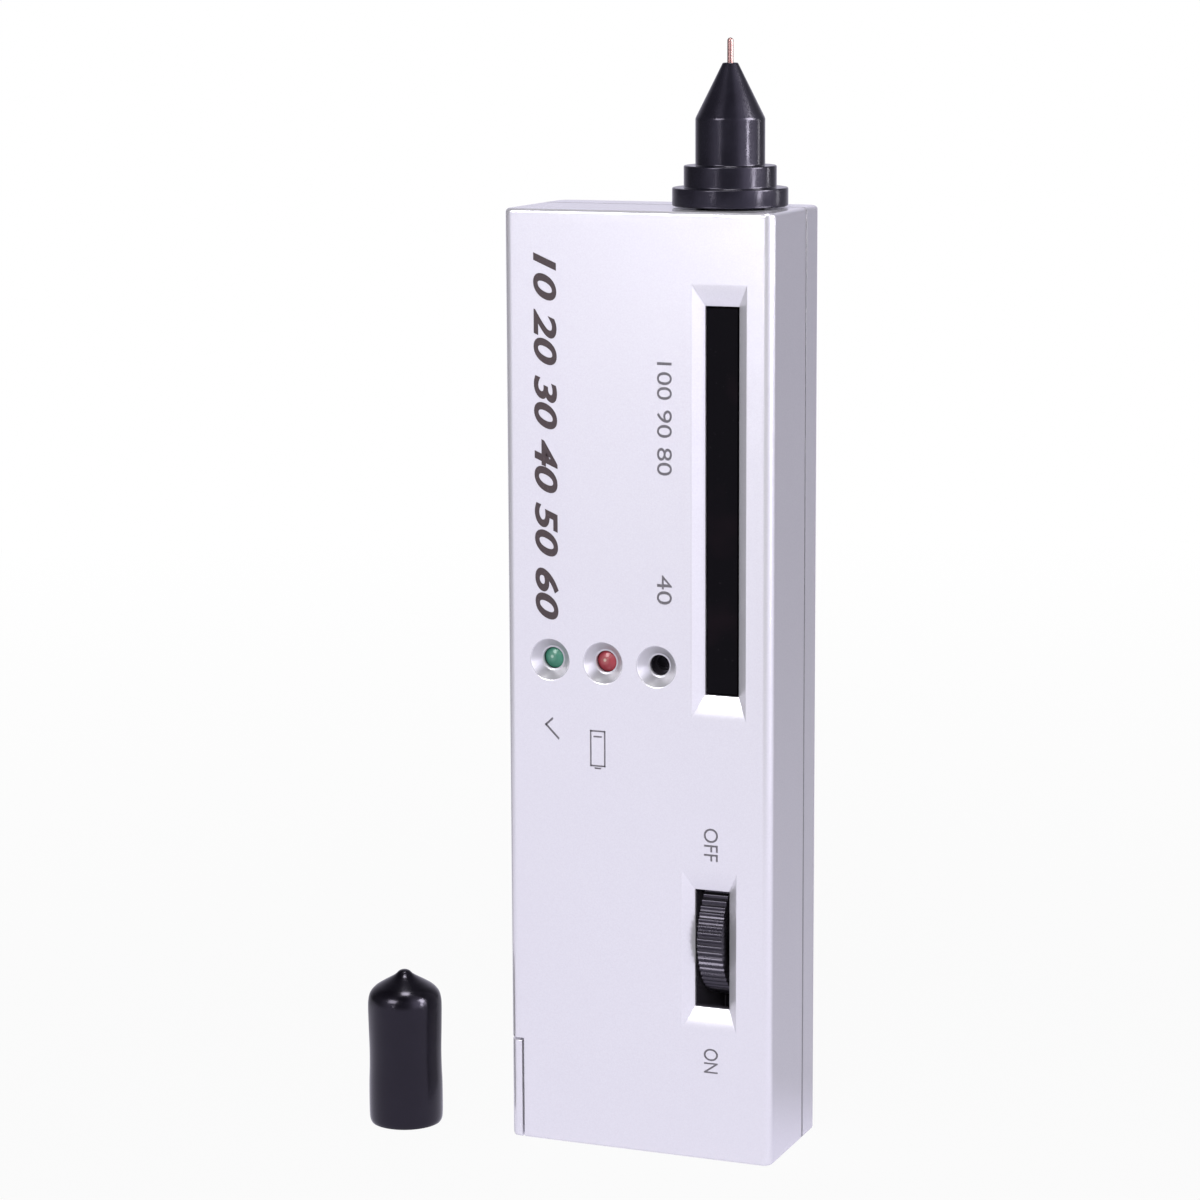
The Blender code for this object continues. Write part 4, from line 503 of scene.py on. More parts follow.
MATERIALS = {
    "casing": silver_paint(),
    "nose_black": black_plastic("nose_plastic", (0.009, 0.0083, 0.013), 0.2, 2600, 0.00003, 0.05, 0.4),
    "wheel_black": black_plastic("wheel_plastic", (0.011, 0.0098, 0.0125), 0.29, 2200, 0.00003, 0.04, 0.7),
    "cap_vinyl": black_plastic("cap_vinyl", (0.003, 0.0025, 0.0043), 0.19, 500, 0.000006, 0.03, 0.4),
    "window": window_plastic(),
    # The last colour of each lens is its painted glint
    "green_lens": lens_plastic("green_lens", (0.13, 0.42, 0.30), (0.05, 0.26, 0.17), (0.60, 0.86, 0.72)),
    "red_lens": lens_plastic("red_lens", (0.62, 0.10, 0.13), (0.40, 0.045, 0.06), (0.90, 0.74, 0.62)),
    "copper": metal("turned_copper", (0.42, 0.25, 0.23), 0.38, (1, 1, 12)),
    "brass": metal("turned_brass", (0.72, 0.53, 0.24), 0.28, (1, 1, 12)),
    "steel": metal("zinc_steel", (0.62, 0.62, 0.64), 0.26),
    "board": plain_plastic("solder_mask", (0.02, 0.17, 0.075), 0.32),
    "chip": plain_plastic("chip_epoxy", (0.022, 0.022, 0.023), 0.5),
    "capacitor_sleeve": plain_plastic("capacitor_sleeve", (0.03, 0.06, 0.22), 0.28),
    "trimmer_body": plain_plastic("trimmer_plastic", (0.03, 0.16, 0.5), 0.42),
    "potentiometer_body": plain_plastic("potentiometer_case", (0.30, 0.30, 0.31), 0.4),
    "nylon": plain_plastic("natural_nylon", (0.78, 0.75, 0.66), 0.45, spread=0.05),
    "ceramic": plain_plastic("white_ceramic", (0.84, 0.82, 0.78), 0.5, spread=0.04),
    "battery_skin": plain_plastic("battery_skin", (0.10, 0.11, 0.13), 0.33),
    "red_wire": plain_plastic("red_wire", (0.60, 0.03, 0.03), 0.38),
    "black_wire": plain_plastic("black_wire", (0.02, 0.02, 0.02), 0.38),
    "white_wire": plain_plastic("white_wire", (0.78, 0.78, 0.76), 0.4, spread=0.05),
}
GREY_INK = ink("grey_ink", (0.17, 0.16, 0.18))
BROWN_INK = ink("brown_ink", (0.060, 0.040, 0.044))

for node in nodes.values():
    for holder in node.material_slots:
        holder.material = MATERIALS[holder.material.name.split(".")[0]]


# Modelling helpers
cutters = []


def add_object(name, data, place=(0, 0, 0)):
    thing = bpy.data.objects.new(name, data)
    thing.location = place
    bpy.context.scene.collection.objects.link(thing)
    return thing


def mesh_from(name, bm):
    mesh = bpy.data.meshes.new(name)
    bm.to_mesh(mesh)
    bm.free()
    return mesh


def evaluated_mesh(thing):
    bpy.context.view_layer.update()
    return bpy.data.meshes.new_from_object(thing.evaluated_get(bpy.context.evaluated_depsgraph_get()))


def box(name, corner_a, corner_b):
    """Block whose corners hold exactly the given coordinates, so that shared planes match."""
    bm = bmesh.new()
    spots = [bm.verts.new((x, y, z)) for x in (corner_a[0], corner_b[0])
             for y in (corner_a[1], corner_b[1]) for z in (corner_a[2], corner_b[2])]
    for quad in ((0, 1, 3, 2), (4, 6, 7, 5), (0, 4, 5, 1), (2, 3, 7, 6), (0, 2, 6, 4), (1, 5, 7, 3)):
        bm.faces.new([spots[k] for k in quad])
    bmesh.ops.recalc_face_normals(bm, faces=bm.faces)
    return add_object(name, mesh_from(name, bm))


def cylinder(name, start, end, radius, segments=96, end_radius=None):
    start = Vector(start)
    run = Vector(end) - start
    bm = bmesh.new()
    bmesh.ops.create_cone(bm, cap_ends=True, segments=segments, radius1=radius,
                          radius2=radius if end_radius is None else end_radius, depth=run.length)
    thing = add_object(name, mesh_from(name, bm), start + run / 2)
    thing.rotation_euler = run.to_track_quat("Z", "Y").to_euler()
    return thing


def turned(name, profile, place, segments, turn=(0, 0, 0), ring=False):
    """Piece turned from (radius, height) points down its outer side; a ring's profile closes on itself."""
    bm = bmesh.new()
    points = [bm.verts.new((radius, 0, height)) for radius, height in profile]
    ends = points[1:] + points[:1] if ring else points[1:]
    for start, end in zip(points, ends):
        bm.edges.new((start, end))
    thing = add_object(name, mesh_from(name, bm), place)
    thing.rotation_euler = Euler(turn)
    screw = thing.modifiers.new("turn", "SCREW")
    screw.angle = 2 * math.pi
    screw.steps = segments
    screw.render_steps = segments
    screw.use_merge_vertices = True
    screw.merge_threshold = WELD_REACH
    thing.data = evaluated_mesh(thing)
    thing.modifiers.clear()
    face_outwards(thing)
    return thing


def face_outwards(thing):
    bm = bmesh.new()
    bm.from_mesh(thing.data)
    bmesh.ops.recalc_face_normals(bm, faces=bm.faces)
    bm.to_mesh(thing.data)
    bm.free()


def rounded(points, radius):
    """The closed profile with its corners replaced by small arcs."""
    steps = 5
    out = []
    for before, corner, after in zip(points[-1:] + points[:-1], points, points[1:] + points[:1]):
        corner = Vector(corner)
        back = Vector(before) - corner
        ahead = Vector(after) - corner
        reach = min(radius, back.length * 0.45, ahead.length * 0.45)
        start = corner + back.normalized() * reach
        end = corner + ahead.normalized() * reach
        for step in range(steps + 1):
            t = step / steps
            out.append(tuple(start * (1 - t) ** 2 + corner * 2 * t * (1 - t) + end * t ** 2))
    return out


def combine(target, other, operation):
    modifier = target.modifiers.new(other.name, "BOOLEAN")
    modifier.operation = operation
    modifier.object = other
    modifier.solver = "EXACT"
    cutters.append(other)


def cut(target, *others):
    for other in others:
        combine(target, other, "DIFFERENCE")


def join(target, *others):
    for other in others:
        combine(target, other, "UNION")


def settle(thing):
    """Apply the piece's modifiers and remove the cutters that they used."""
    mesh = evaluated_mesh(thing)
    thing.modifiers.clear()
    thing.data = mesh
    mesh.name = thing.name
    for cutter in cutters:
        bpy.data.objects.remove(cutter, do_unlink=True)
    cutters.clear()


def smooth(thing, angle=38):
    thing.data.shade_smooth()
    thing.data.set_sharp_from_angle(angle=math.radians(angle))


def soften(thing):
    """Apply the piece's cuts, clean it, round its sharp edges a little and shade it smooth."""
    settle(thing)
    spots = [vertex.co for vertex in thing.data.vertices]
    limits = [(min(spot[axis] for spot in spots), max(spot[axis] for spot in spots)) for axis in range(3)]
    weld = thing.modifiers.new("weld", "WELD")
    weld.merge_threshold = WELD_REACH
    flat = thing.modifiers.new("flat", "DECIMATE")
    flat.decimate_type = "DISSOLVE"
    flat.angle_limit = math.radians(0.4)
    bevel = thing.modifiers.new("rounding", "BEVEL")
    bevel.width = FINE_ROUND
    bevel.segments = 3
    bevel.limit_method = "ANGLE"
    bevel.angle_limit = math.radians(26)
    bevel.miter_outer = "MITER_ARC"
    bevel.use_clamp_overlap = False
    settle(thing)
    for vertex in thing.data.vertices:
        vertex.co = [min(max(vertex.co[axis], limits[axis][0]), limits[axis][1]) for axis in range(3)]
    smooth(thing)
    weighted = thing.modifiers.new("weighted", "WEIGHTED_NORMAL")
    weighted.keep_sharp = True
    weighted.weight = 80


def dress(thing, slot_name, body="casing", replaced=(), material=None):
    thing.data.materials.clear()
    thing.data.materials.append(material or MATERIALS[slot_name])
    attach(thing, body)
    if replaced:
        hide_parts(*replaced)


def inner_works(name, node, corner_a, corner_b):
    """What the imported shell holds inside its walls: ribs, bosses, pads and lips."""
    works = add_object(name, nodes[node].data.copy())
    weld = works.modifiers.new("weld", "WELD")
    weld.merge_threshold = WELD_REACH
    inside = box(name + "_space", corner_a, corner_b)
    modifier = works.modifiers.new("inside", "BOOLEAN")
    modifier.operation = "INTERSECT"
    modifier.object = inside
    works.data = evaluated_mesh(works)
    works.modifiers.clear()
    bpy.data.objects.remove(inside, do_unlink=True)
    return works


# Casing
def bevel_edges(bm, chosen, radius, segments):
    bmesh.ops.bevel(bm, geom=chosen, offset=radius, offset_type="OFFSET", segments=segments,
                    profile=0.5, affect="EDGES", clamp_overlap=True)


def casing_blank(name):
    """Solid with the casing's outer form, with fine fillets."""
    size = Vector((X_RIGHT - X_LEFT, Y_REAR - Y_FRONT, BODY_HEIGHT))
    bm = bmesh.new()
    bmesh.ops.create_cube(bm, size=1)
    bmesh.ops.scale(bm, vec=size, verts=bm.verts)
    upright = [edge for edge in bm.edges if abs(edge.verts[0].co.z - edge.verts[1].co.z) > WALL]
    front = [edge for edge in upright if edge.verts[0].co.y < 0]
    rear = [edge for edge in upright if edge.verts[0].co.y > 0]
    bevel_edges(bm, front, FRONT_EDGE_RADIUS, FRONT_EDGE_STEPS)
    bevel_edges(bm, rear, REAR_EDGE_RADIUS, REAR_EDGE_STEPS)
    top = [edge for edge in bm.edges if min(vert.co.z for vert in edge.verts) > size.z / 2 - BITE]
    bevel_edges(bm, top, TOP_EDGE_RADIUS, TOP_EDGE_STEPS)
    bottom = [edge for edge in bm.edges if max(vert.co.z for vert in edge.verts) < BITE - size.z / 2]
    bevel_edges(bm, bottom, BOTTOM_EDGE_RADIUS, BOTTOM_EDGE_STEPS)
    bmesh.ops.translate(bm, vec=(0, (Y_FRONT + Y_REAR) / 2, size.z / 2), verts=bm.verts)
    return add_object(name, mesh_from(name, bm))


def recess(name, x, z, half_width, half_length):
    """Cutter for a bevelled recess with a flat floor."""
    reach = (RECESS_DEPTH + OVERRUN) / RECESS_DEPTH
    cutter = box(name, (x - half_width, Y_FRONT - OVERRUN, z - half_length),
                 (x + half_width, RECESS_Y, z + half_length))
    for vertex in cutter.data.vertices:
        if vertex.co.y < Y_FRONT:
            vertex.co.x += math.copysign(RECESS_SIDE * reach, vertex.co.x - x)
            vertex.co.z += math.copysign(RECESS_END * reach, vertex.co.z - z)
    return cutter


def seam_grooves(shell):
    """Shallow V along the seam, cut by square bars turned on their edges."""
    seam = SEAM_Y + FIT / 2
    half = SEAM_GROOVE + FIT / 2
    beyond = BODY_HEIGHT + OVERRUN
    for side, x in (("right", X_RIGHT), ("left", X_LEFT)):
        cut(shell, cylinder(f"{shell.name}_groove_{side}", (x, seam, -OVERRUN), (x, seam, beyond), half, 4))
    for side, z in (("top", BODY_HEIGHT), ("bottom", 0)):
        cut(shell, cylinder(f"{shell.name}_groove_{side}", (X_LEFT - OVERRUN, seam, z),
                            (X_RIGHT + OVERRUN, seam, z), half, 4))


def hollow(shell, works_node, near_y, far_y):
    """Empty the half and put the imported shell's inner works in.

    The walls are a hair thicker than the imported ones, so that no two faces share a plane.
    """
    name = shell.name
    ceiling = BODY_HEIGHT - WALL
    cut(shell, box(name + "_inside", (X_LEFT + WALL + HAIR, INNER_FRONT + HAIR, WALL + HAIR),
                   (X_RIGHT - WALL - HAIR, INNER_REAR - HAIR, ceiling - HAIR)))
    join(shell, inner_works(name + "_works", works_node, (X_LEFT + WALL - BITE, near_y, WALL - BITE),
                            (X_RIGHT - WALL + BITE, far_y, ceiling + BITE)))


def common_cuts(shell):
    """What both casing halves give way to: the door and the neck."""
    name = shell.name
    far_left = X_LEFT - OVERRUN
    ceiling = BODY_HEIGHT - WALL
    cut(shell,
        box(name + "_door_gap", (far_left, Y_FRONT - OVERRUN, -OVERRUN),
            (X_LEFT + DOOR_THICKNESS + FIT + HAIR, Y_REAR + OVERRUN, DOOR_TOP + FIT + HAIR)),
        box(name + "_battery_way", (far_left, INNER_FRONT + HAIR, -OVERRUN),
            (BAY_X0 - HAIR, INNER_REAR - HAIR, WALL + OVERRUN)),
        cylinder(name + "_neck_hole", (NOSE_X, 0, ceiling - OVERRUN), (NOSE_X, 0, BODY_HEIGHT + OVERRUN),
                 NECK_RADIUS + FIT + HAIR))


def make_front():
    shell = casing_blank("front_casing")
    combine(shell, box("front_half", (X_LEFT - OVERRUN, Y_FRONT - OVERRUN, -OVERRUN),
                       (X_RIGHT + OVERRUN, SEAM_Y, BODY_HEIGHT + OVERRUN)), "INTERSECT")
    hollow(shell, "front_shell", INNER_FRONT - BITE, SEAM_Y - HAIR)
    half_window = WINDOW_WIDTH / 2
    half_slot = (WHEEL_X1 - WHEEL_X0) / 2 + WHEEL_SLOT_GAP
    slot_end = WHEEL_SLOT_LENGTH / 2
    skin = Y_FRONT + WALL - BITE
    edge = PAD_MARGIN + HAIR
    join(shell,
         box("window_pad", (WINDOW_X - half_window - edge, skin, WINDOW_Z0 - edge),
             (WINDOW_X + half_window + edge, PAD_Y + HAIR, WINDOW_Z1 + edge)),
         box("wheel_pad", (BAY_X0 - HAIR, skin, SLOT_Z - slot_end - RECESS_END - HAIR),
             (WHEEL.x + half_slot + edge, PAD_Y + HAIR, SLOT_Z + slot_end + RECESS_END + HAIR)),
         box("dish_pad", (DISH_XS[0] - DISH_RADIUS - HAIR, skin, LAMP_Z - DISH_RADIUS - HAIR),
             (DISH_XS[-1] + DISH_RADIUS + HAIR, DISH_PAD_Y + HAIR, LAMP_Z + DISH_RADIUS + HAIR)))
    common_cuts(shell)
    cut(shell,
        recess("window_recess", WINDOW_X, (WINDOW_Z0 + WINDOW_Z1) / 2, half_window,
               (WINDOW_Z1 - WINDOW_Z0) / 2),
        box("window_opening", (WINDOW_X - half_window, Y_FRONT, WINDOW_Z0),
            (WINDOW_X + half_window, PAD_Y + OVERRUN, WINDOW_Z1)),
        recess("wheel_recess", WHEEL.x, SLOT_Z, half_slot, slot_end),
        box("wheel_opening", (WHEEL.x - half_slot, Y_FRONT, SLOT_Z - slot_end),
            (WHEEL.x + half_slot, PAD_Y + OVERRUN, SLOT_Z + slot_end)))
    for index, (x, hole) in enumerate(zip(DISH_XS, (LENS_RIM_RADIUS, LENS_RIM_RADIUS, SOUND_HOLE_RADIUS))):
        foot = hole + DISH_LEDGE
        slope = (DISH_RADIUS - foot) / DISH_DEPTH
        cut(shell,
            cylinder(f"dish_{index}", (x, Y_FRONT - OVERRUN, LAMP_Z), (x, Y_FRONT + DISH_DEPTH, LAMP_Z),
                     DISH_RADIUS + slope * OVERRUN, 96, foot),
            cylinder(f"dish_hole_{index}", (x, Y_FRONT, LAMP_Z), (x, DISH_PAD_Y + OVERRUN, LAMP_Z), hole))
    seam_grooves(shell)
    soften(shell)
    dress(shell, "casing", replaced=["front_shell"])


def make_rear():
    shell = casing_blank("rear_casing")
    combine(shell, box("rear_half", (X_LEFT - OVERRUN, REAR_SHELL_Y - HAIR, -OVERRUN),
                       (X_RIGHT + OVERRUN, Y_REAR + OVERRUN, BODY_HEIGHT + OVERRUN)), "INTERSECT")
    hollow(shell, "rear_shell", SEAM_Y - LIP_HEIGHT - OVERRUN, INNER_REAR + BITE)
    common_cuts(shell)
    seat = Y_REAR - SCREW_SUNK - HAIR
    for index in range(1, 5):
        place = middle(f"case_screw_{index}")
        cut(shell, cylinder(f"well_{index}", (place.x, seat, place.z), (place.x, Y_REAR + OVERRUN, place.z),
                            WELL_RADIUS + HAIR, 64))
    seam_grooves(shell)
    soften(shell)
    dress(shell, "casing", replaced=["rear_shell"])


def corner_cutter(name, radius, reach):
    """What lies outside a quarter circle at the casing's lower left corner."""
    steps = 12
    outline = [(X_LEFT - OVERRUN, -OVERRUN), (X_LEFT + radius, -OVERRUN)]
    for step in range(steps + 1):
        angle = math.pi / 2 * step / steps
        outline.append((X_LEFT + radius * (1 - math.sin(angle)), radius * (1 - math.cos(angle))))
    outline.append((X_LEFT - OVERRUN, radius))
    bm = bmesh.new()
    near = [bm.verts.new((x, -reach, z)) for x, z in outline]
    far = [bm.verts.new((x, reach, z)) for x, z in outline]
    bm.faces.new(near)
    bm.faces.new(far[::-1])
    for k in range(len(outline)):
        after = (k + 1) % len(outline)
        bm.faces.new((near[after], near[k], far[k], far[after]))
    cutter = add_object(name, mesh_from(name, bm))
    face_outwards(cutter)
    return cutter


def make_door():
    """End cap: a bottom plate between the walls and a grooved grip up the left side."""
    door = casing_blank("door_cover")
    grip_x = X_LEFT + DOOR_THICKNESS
    plate_y = INNER_REAR - FIT
    far_y = Y_REAR + OVERRUN
    combine(door, box("door_block", (X_LEFT - OVERRUN, -far_y, -OVERRUN), (BAY_X0 - FIT, far_y, DOOR_TOP)),
            "INTERSECT")
    cut(door,
        box("door_above_plate", (grip_x, -far_y, WALL), (X_RIGHT, far_y, DOOR_TOP + OVERRUN)),
        box("door_front_relief", (grip_x, -far_y, -OVERRUN), (X_RIGHT, -plate_y, WALL + OVERRUN)),
        box("door_rear_relief", (grip_x, plate_y, -OVERRUN), (X_RIGHT, far_y, WALL + OVERRUN)))
    reach = Y_REAR - REAR_EDGE_RADIUS
    for index in range(GRIP_COUNT):
        foot = GRIP_FOOT + index * GRIP_PITCH
        cut(door, box(f"door_groove_{index}", (X_LEFT - OVERRUN, -reach, foot),
                      (X_LEFT + GRIP_DEPTH, reach, foot + GRIP_WIDTH)))
    cut(door, corner_cutter("door_corner", DOOR_CORNER_RADIUS, Y_REAR + OVERRUN))
    soften(door)
    dress(door, "casing", "door", ["battery_door"])


# Nose, tip, cap, wheel and lamps
def make_nose():
    """Stepped nose with finely rounded edges on a hollow neck."""
    exit_radius = TIP_RADIUS + FIT
    upper_z = BODY_HEIGHT + LOWER_FLANGE_HEIGHT
    barrel_z = upper_z + UPPER_FLANGE_HEIGHT
    bore_top = NOSE_TOP - TIP_BELOW_CONE + FIT
    guide_top = bore_top + GUIDE_LENGTH + 2 * FIT
    profile = [(exit_radius, NOSE_TOP), (CONE_TIP_RADIUS, NOSE_TOP),
               (BARREL_RADIUS, barrel_z + BARREL_HEIGHT), (BARREL_RADIUS, barrel_z),
               (UPPER_FLANGE_RADIUS, barrel_z), (UPPER_FLANGE_RADIUS, upper_z),
               (LOWER_FLANGE_RADIUS, upper_z), (LOWER_FLANGE_RADIUS, BODY_HEIGHT + FIT),
               (NECK_RADIUS, BODY_HEIGHT + FIT), (NECK_RADIUS, NOSE_BASE), (NECK_BORE_RADIUS, NOSE_BASE),
               (NECK_BORE_RADIUS, bore_top), (GUIDE_BORE_RADIUS, bore_top), (GUIDE_BORE_RADIUS, guide_top),
               (exit_radius, guide_top)]
    nose = turned("nose_body", rounded(profile, NOSE_EDGE_RADIUS), (NOSE_X, 0, 0), 128, ring=True)
    smooth(nose, 35)
    dress(nose, "nose_black", replaced=["nose_cone"])


def flowing(points):
    """Smooth curve through the points."""
    steps = 6
    padded = [points[0]] + list(points) + [points[-1]]
    out = []
    for spot in range(len(points) - 1):
        a, b, c, d = (Vector(point) for point in padded[spot:spot + 4])
        for step in range(steps):
            t = step / steps
            out.append(tuple((b * 2 + (c - a) * t + (a * 2 - b * 5 + c * 4 - d) * t ** 2
                              + (b * 3 - a - c * 3 + d) * t ** 3) / 2))
    return out + [points[-1]]


def make_cap():
    """Dip-moulded vinyl cap with a soft waist, a round shoulder and a blunt drip point."""
    corner_low, corner_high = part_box("protective_cap")
    radius = (corner_high.x - corner_low.x) / 2
    height = corner_high.z
    # Radius and height of the outside, as shares of the cap's own
    shares = [(0.0, 1.0), (0.08, 0.998), (0.15, 0.990), (0.20, 0.978), (0.27, 0.964), (0.40, 0.945),
              (0.60, 0.918), (0.80, 0.887), (0.93, 0.852), (0.985, 0.81), (1.0, 0.75), (0.99, 0.62),
              (0.975, 0.47), (0.98, 0.36), (0.996, 0.25), (1.0, 0.12), (0.99, 0.03), (0.95, 0.0)]
    outside = [(min(1.0, across) * radius, max(0.0, up) * height) for across, up in flowing(shares)]
    inside = [(radius * 0.95 - CAP_WALL, 0), (radius * 0.96 - CAP_WALL, CAP_MOUTH_EDGE)]
    inside += [(across * radius - CAP_WALL, up * height) for across, up in reversed(shares[9:16])]
    inside += [(radius / 2, height * 0.88), (0, height - CAP_FLOOR * 1.6)]
    centre = middle("protective_cap")
    cap = turned("cap_shell", outside + inside, (centre.x, centre.y, 0), 128)
    smooth(cap, 50)
    dress(cap, "cap_vinyl", "cap", ["protective_cap"])


def make_tip():
    """Copper tip with a round crown on its stepped rod."""
    steps = 8
    tip_low, tip_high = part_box("probe_tip")
    shank_top = NOSE_TOP - TIP_BELOW_CONE
    collar_top = shank_top - SHANK_LENGTH
    collar_low = collar_top - COLLAR_THICKNESS
    collar_radius = NECK_BORE_RADIUS - FIT
    angles = [math.pi / 2 * step / steps for step in range(steps + 1)]
    crown = [(TIP_RADIUS * math.sin(angle), tip_high.z - TIP_RADIUS * (1 - math.cos(angle)))
             for angle in angles]
    rod = [(TIP_RADIUS, shank_top), (SHANK_RADIUS, shank_top), (SHANK_RADIUS, collar_top),
           (collar_radius, collar_top), (collar_radius, collar_low), (TAIL_RADIUS, collar_low),
           (TAIL_RADIUS, tip_low.z), (0, tip_low.z)]
    tip = turned("copper_tip", crown + rod, (NOSE_X, 0, 0), 48)
    smooth(tip)
    dress(tip, "copper", "probe", ["probe_tip"])


def make_wheel():
    """Ribbed wheel: rounded rim ribs, dished sides and a hub."""
    per_rib = 8
    count = WHEEL_RIB_COUNT * per_rib
    half = (WHEEL_X1 - WHEEL_X0) / 2
    bm = bmesh.new()
    drop_at_side = -1.4 * WHEEL_RIB_DEPTH
    outline = [(-half, drop_at_side), (WHEEL_RIB_EDGE - half, 0), (half - WHEEL_RIB_EDGE, 0),
               (half, drop_at_side)]
    inner = WHEEL_RADIUS - WHEEL_RIM
    side = [(half, inner), (half - WHEEL_DISH_DEPTH, inner), (half - WHEEL_DISH_DEPTH, WHEEL_HUB_RADIUS),
            (half, WHEEL_HUB_RADIUS)]
    web = half - WHEEL_HEAD_RECESS
    bores = [(half, WHEEL_STUB_BORE), (WHEEL_WEB - web, WHEEL_STUB_BORE), (WHEEL_WEB - web, WHEEL_WEB_BORE),
             (-web, WHEEL_WEB_BORE), (-web, WHEEL_HEAD_BORE), (-half, WHEEL_HEAD_BORE)]

    def ring_at(x, radius_of):
        return [bm.verts.new((radius_of(k) * math.cos(2 * math.pi * k / count),
                              radius_of(k) * math.sin(2 * math.pi * k / count), x)) for k in range(count)]

    def rim_radius(drop):
        def radius(k):
            phase = (k % per_rib) / per_rib
            crest = min(1.0, max(0.0, 1.4 - abs(phase - 0.5) * 4))
            return WHEEL_RADIUS - WHEEL_RIB_DEPTH * (1 - crest) + drop
        return radius

    rings = [ring_at(-x, lambda k, r=radius: r) for x, radius in reversed(side)]
    rings += [ring_at(x, rim_radius(drop)) for x, drop in outline]
    rings += [ring_at(x, lambda k, r=radius: r) for x, radius in side + bores]
    for first, second in zip(rings, rings[1:] + rings[:1]):
        for k in range(count):
            after = (k + 1) % count
            bm.faces.new((first[k], first[after], second[after], second[k]))
    wheel = add_object("ribbed_wheel", mesh_from("ribbed_wheel", bm), WHEEL)
    wheel.rotation_euler = Euler((0, math.pi / 2, 0))
    face_outwards(wheel)
    smooth(wheel, 40)
    dress(wheel, "wheel_black", "wheel", ["thumbwheel"])


def lens_profile():
    """Low dome on a plug, a round shoulder, the lens's side and its flange."""
    plug = LENS_RIM_RADIUS - LENS_PLAY
    shoulder = math.asin(plug / LED_RADIUS)
    steps = 16
    profile = []
    for step in range(steps + 1):
        radius = plug * step / steps
        profile.append((radius, LED_RADIUS + LENS_RISE - radius ** 2 / 2 / LENS_CURVE))
    for step in range(steps + 1):
        angle = shoulder + (math.pi / 2 - shoulder) * step / steps
        profile.append((LED_RADIUS * math.sin(angle), LED_RADIUS * math.cos(angle)))
    flange = LED_FLANGE_THICKNESS - LED_LENGTH
    return profile + [(LED_RADIUS, flange), (LED_FLANGE_RADIUS, flange),
                      (LED_FLANGE_RADIUS, -LED_LENGTH), (0, -LED_LENGTH)]


def make_lamp(name, node, x, slot, glint_colour):
    """Round lamp: tinted dome with a flange, and inside it the cup and the die."""
    reach = LED_RADIUS + FIT
    centre = DISH_PAD_Y + math.sqrt(reach ** 2 - LENS_HOLE_RADIUS ** 2)
    place = (x, centre, LAMP_Z)
    turn = (math.pi / 2, 0, 0)
    lens = turned(name + "_lens", lens_profile(), place, 96, turn)
    smooth(lens)
    dress(lens, slot, replaced=[node])
    cup = [(0, CUP_FLOOR), (CUP_FLOOR_RADIUS, CUP_FLOOR), (CUP_RADIUS, CUP_TOP),
           (CUP_RADIUS + CUP_RIM, CUP_TOP), (POST_RADIUS, CUP_NECK), (POST_RADIUS, POST_FOOT),
           (0, POST_FOOT)]
    holder = turned(name + "_cup", cup, place, 48, turn)
    smooth(holder)
    dress(holder, "steel")
    chip = [(0, DIE_TOP), (DIE_CROWN_RADIUS, DIE_CROWN), (DIE_RADIUS, DIE_SHOULDER),
            (DIE_RADIUS, DIE_FOOT), (0, DIE_FOOT)]
    die = turned(name + "_die", chip, place, 32, turn)
    smooth(die)
    # The die is given a pale colour like the painted glint's
    dress(die, "ceramic", material=plain_plastic(name + "_die_tone", glint_colour, 0.4))


make_front()
make_rear()
make_door()
make_nose()
make_tip()
make_cap()
make_wheel()
make_lamp("ready", "ready_led", DISH_XS[0], "green_lens", (0.55, 0.95, 0.75))
make_lamp("low_battery", "low_battery_led", DISH_XS[1], "red_lens", (0.95, 0.85, 0.7))


# Print on the front face: it reads downwards
def printed(name, mesh, material, place):
    """Fit a flat mesh to a rectangle on the front face, its own X running down."""
    x0, x1, z_top, z_bottom = (value * MM for value in place)
    xs = [vertex.co.x for vertex in mesh.vertices]
    ys = [vertex.co.y for vertex in mesh.vertices]
    along_scale = (z_top - z_bottom) / (max(xs) - min(xs))
    across_scale = (x1 - x0) / (max(ys) - min(ys))
    for vertex in mesh.vertices:
        along = (vertex.co.x - min(xs)) * along_scale
        across = (vertex.co.y - min(ys)) * across_scale
        depth = Y_FRONT - PRINT_PROUD if vertex.co.z > 0 else Y_FRONT + PRINT_PROUD
        vertex.co = (x0 + across, depth, z_top - along)
    dress(add_object(name, mesh), "casing", material=material)


def text_mesh(name, words, lean=0.0, weight=0.0):
    curve = bpy.data.curves.new(name, "FONT")
    curve.body = words
    curve.shear = lean
    curve.offset = weight
    curve.extrude = MARK_HALF_DEPTH
    curve.resolution_u = 8
    holder = add_object(name + "_curve", curve)
    mesh = evaluated_mesh(holder)
    bpy.data.objects.remove(holder)
    return mesh


def line_mesh(name, strokes, width):
    """Flat strokes of even width through lists of (x, y) points."""
    bm = bmesh.new()
    for stroke in strokes:
        for start, end in zip(stroke, stroke[1:]):
            start = Vector(start)
            end = Vector(end)
            along = (end - start).normalized() * width / 2
            side = Vector((-along.y, along.x))
            corners = [start - along - side, end + along - side, end + along + side, start - along + side]
            top = [bm.verts.new((*corner, MARK_HALF_DEPTH)) for corner in corners]
            under = [bm.verts.new((*corner, -MARK_HALF_DEPTH)) for corner in corners]
            bm.faces.new(top)
            bm.faces.new(under[::-1])
            for k in range(4):
                bm.faces.new((top[k], under[k], under[(k + 1) % 4], top[(k + 1) % 4]))
    return mesh_from(name, bm)


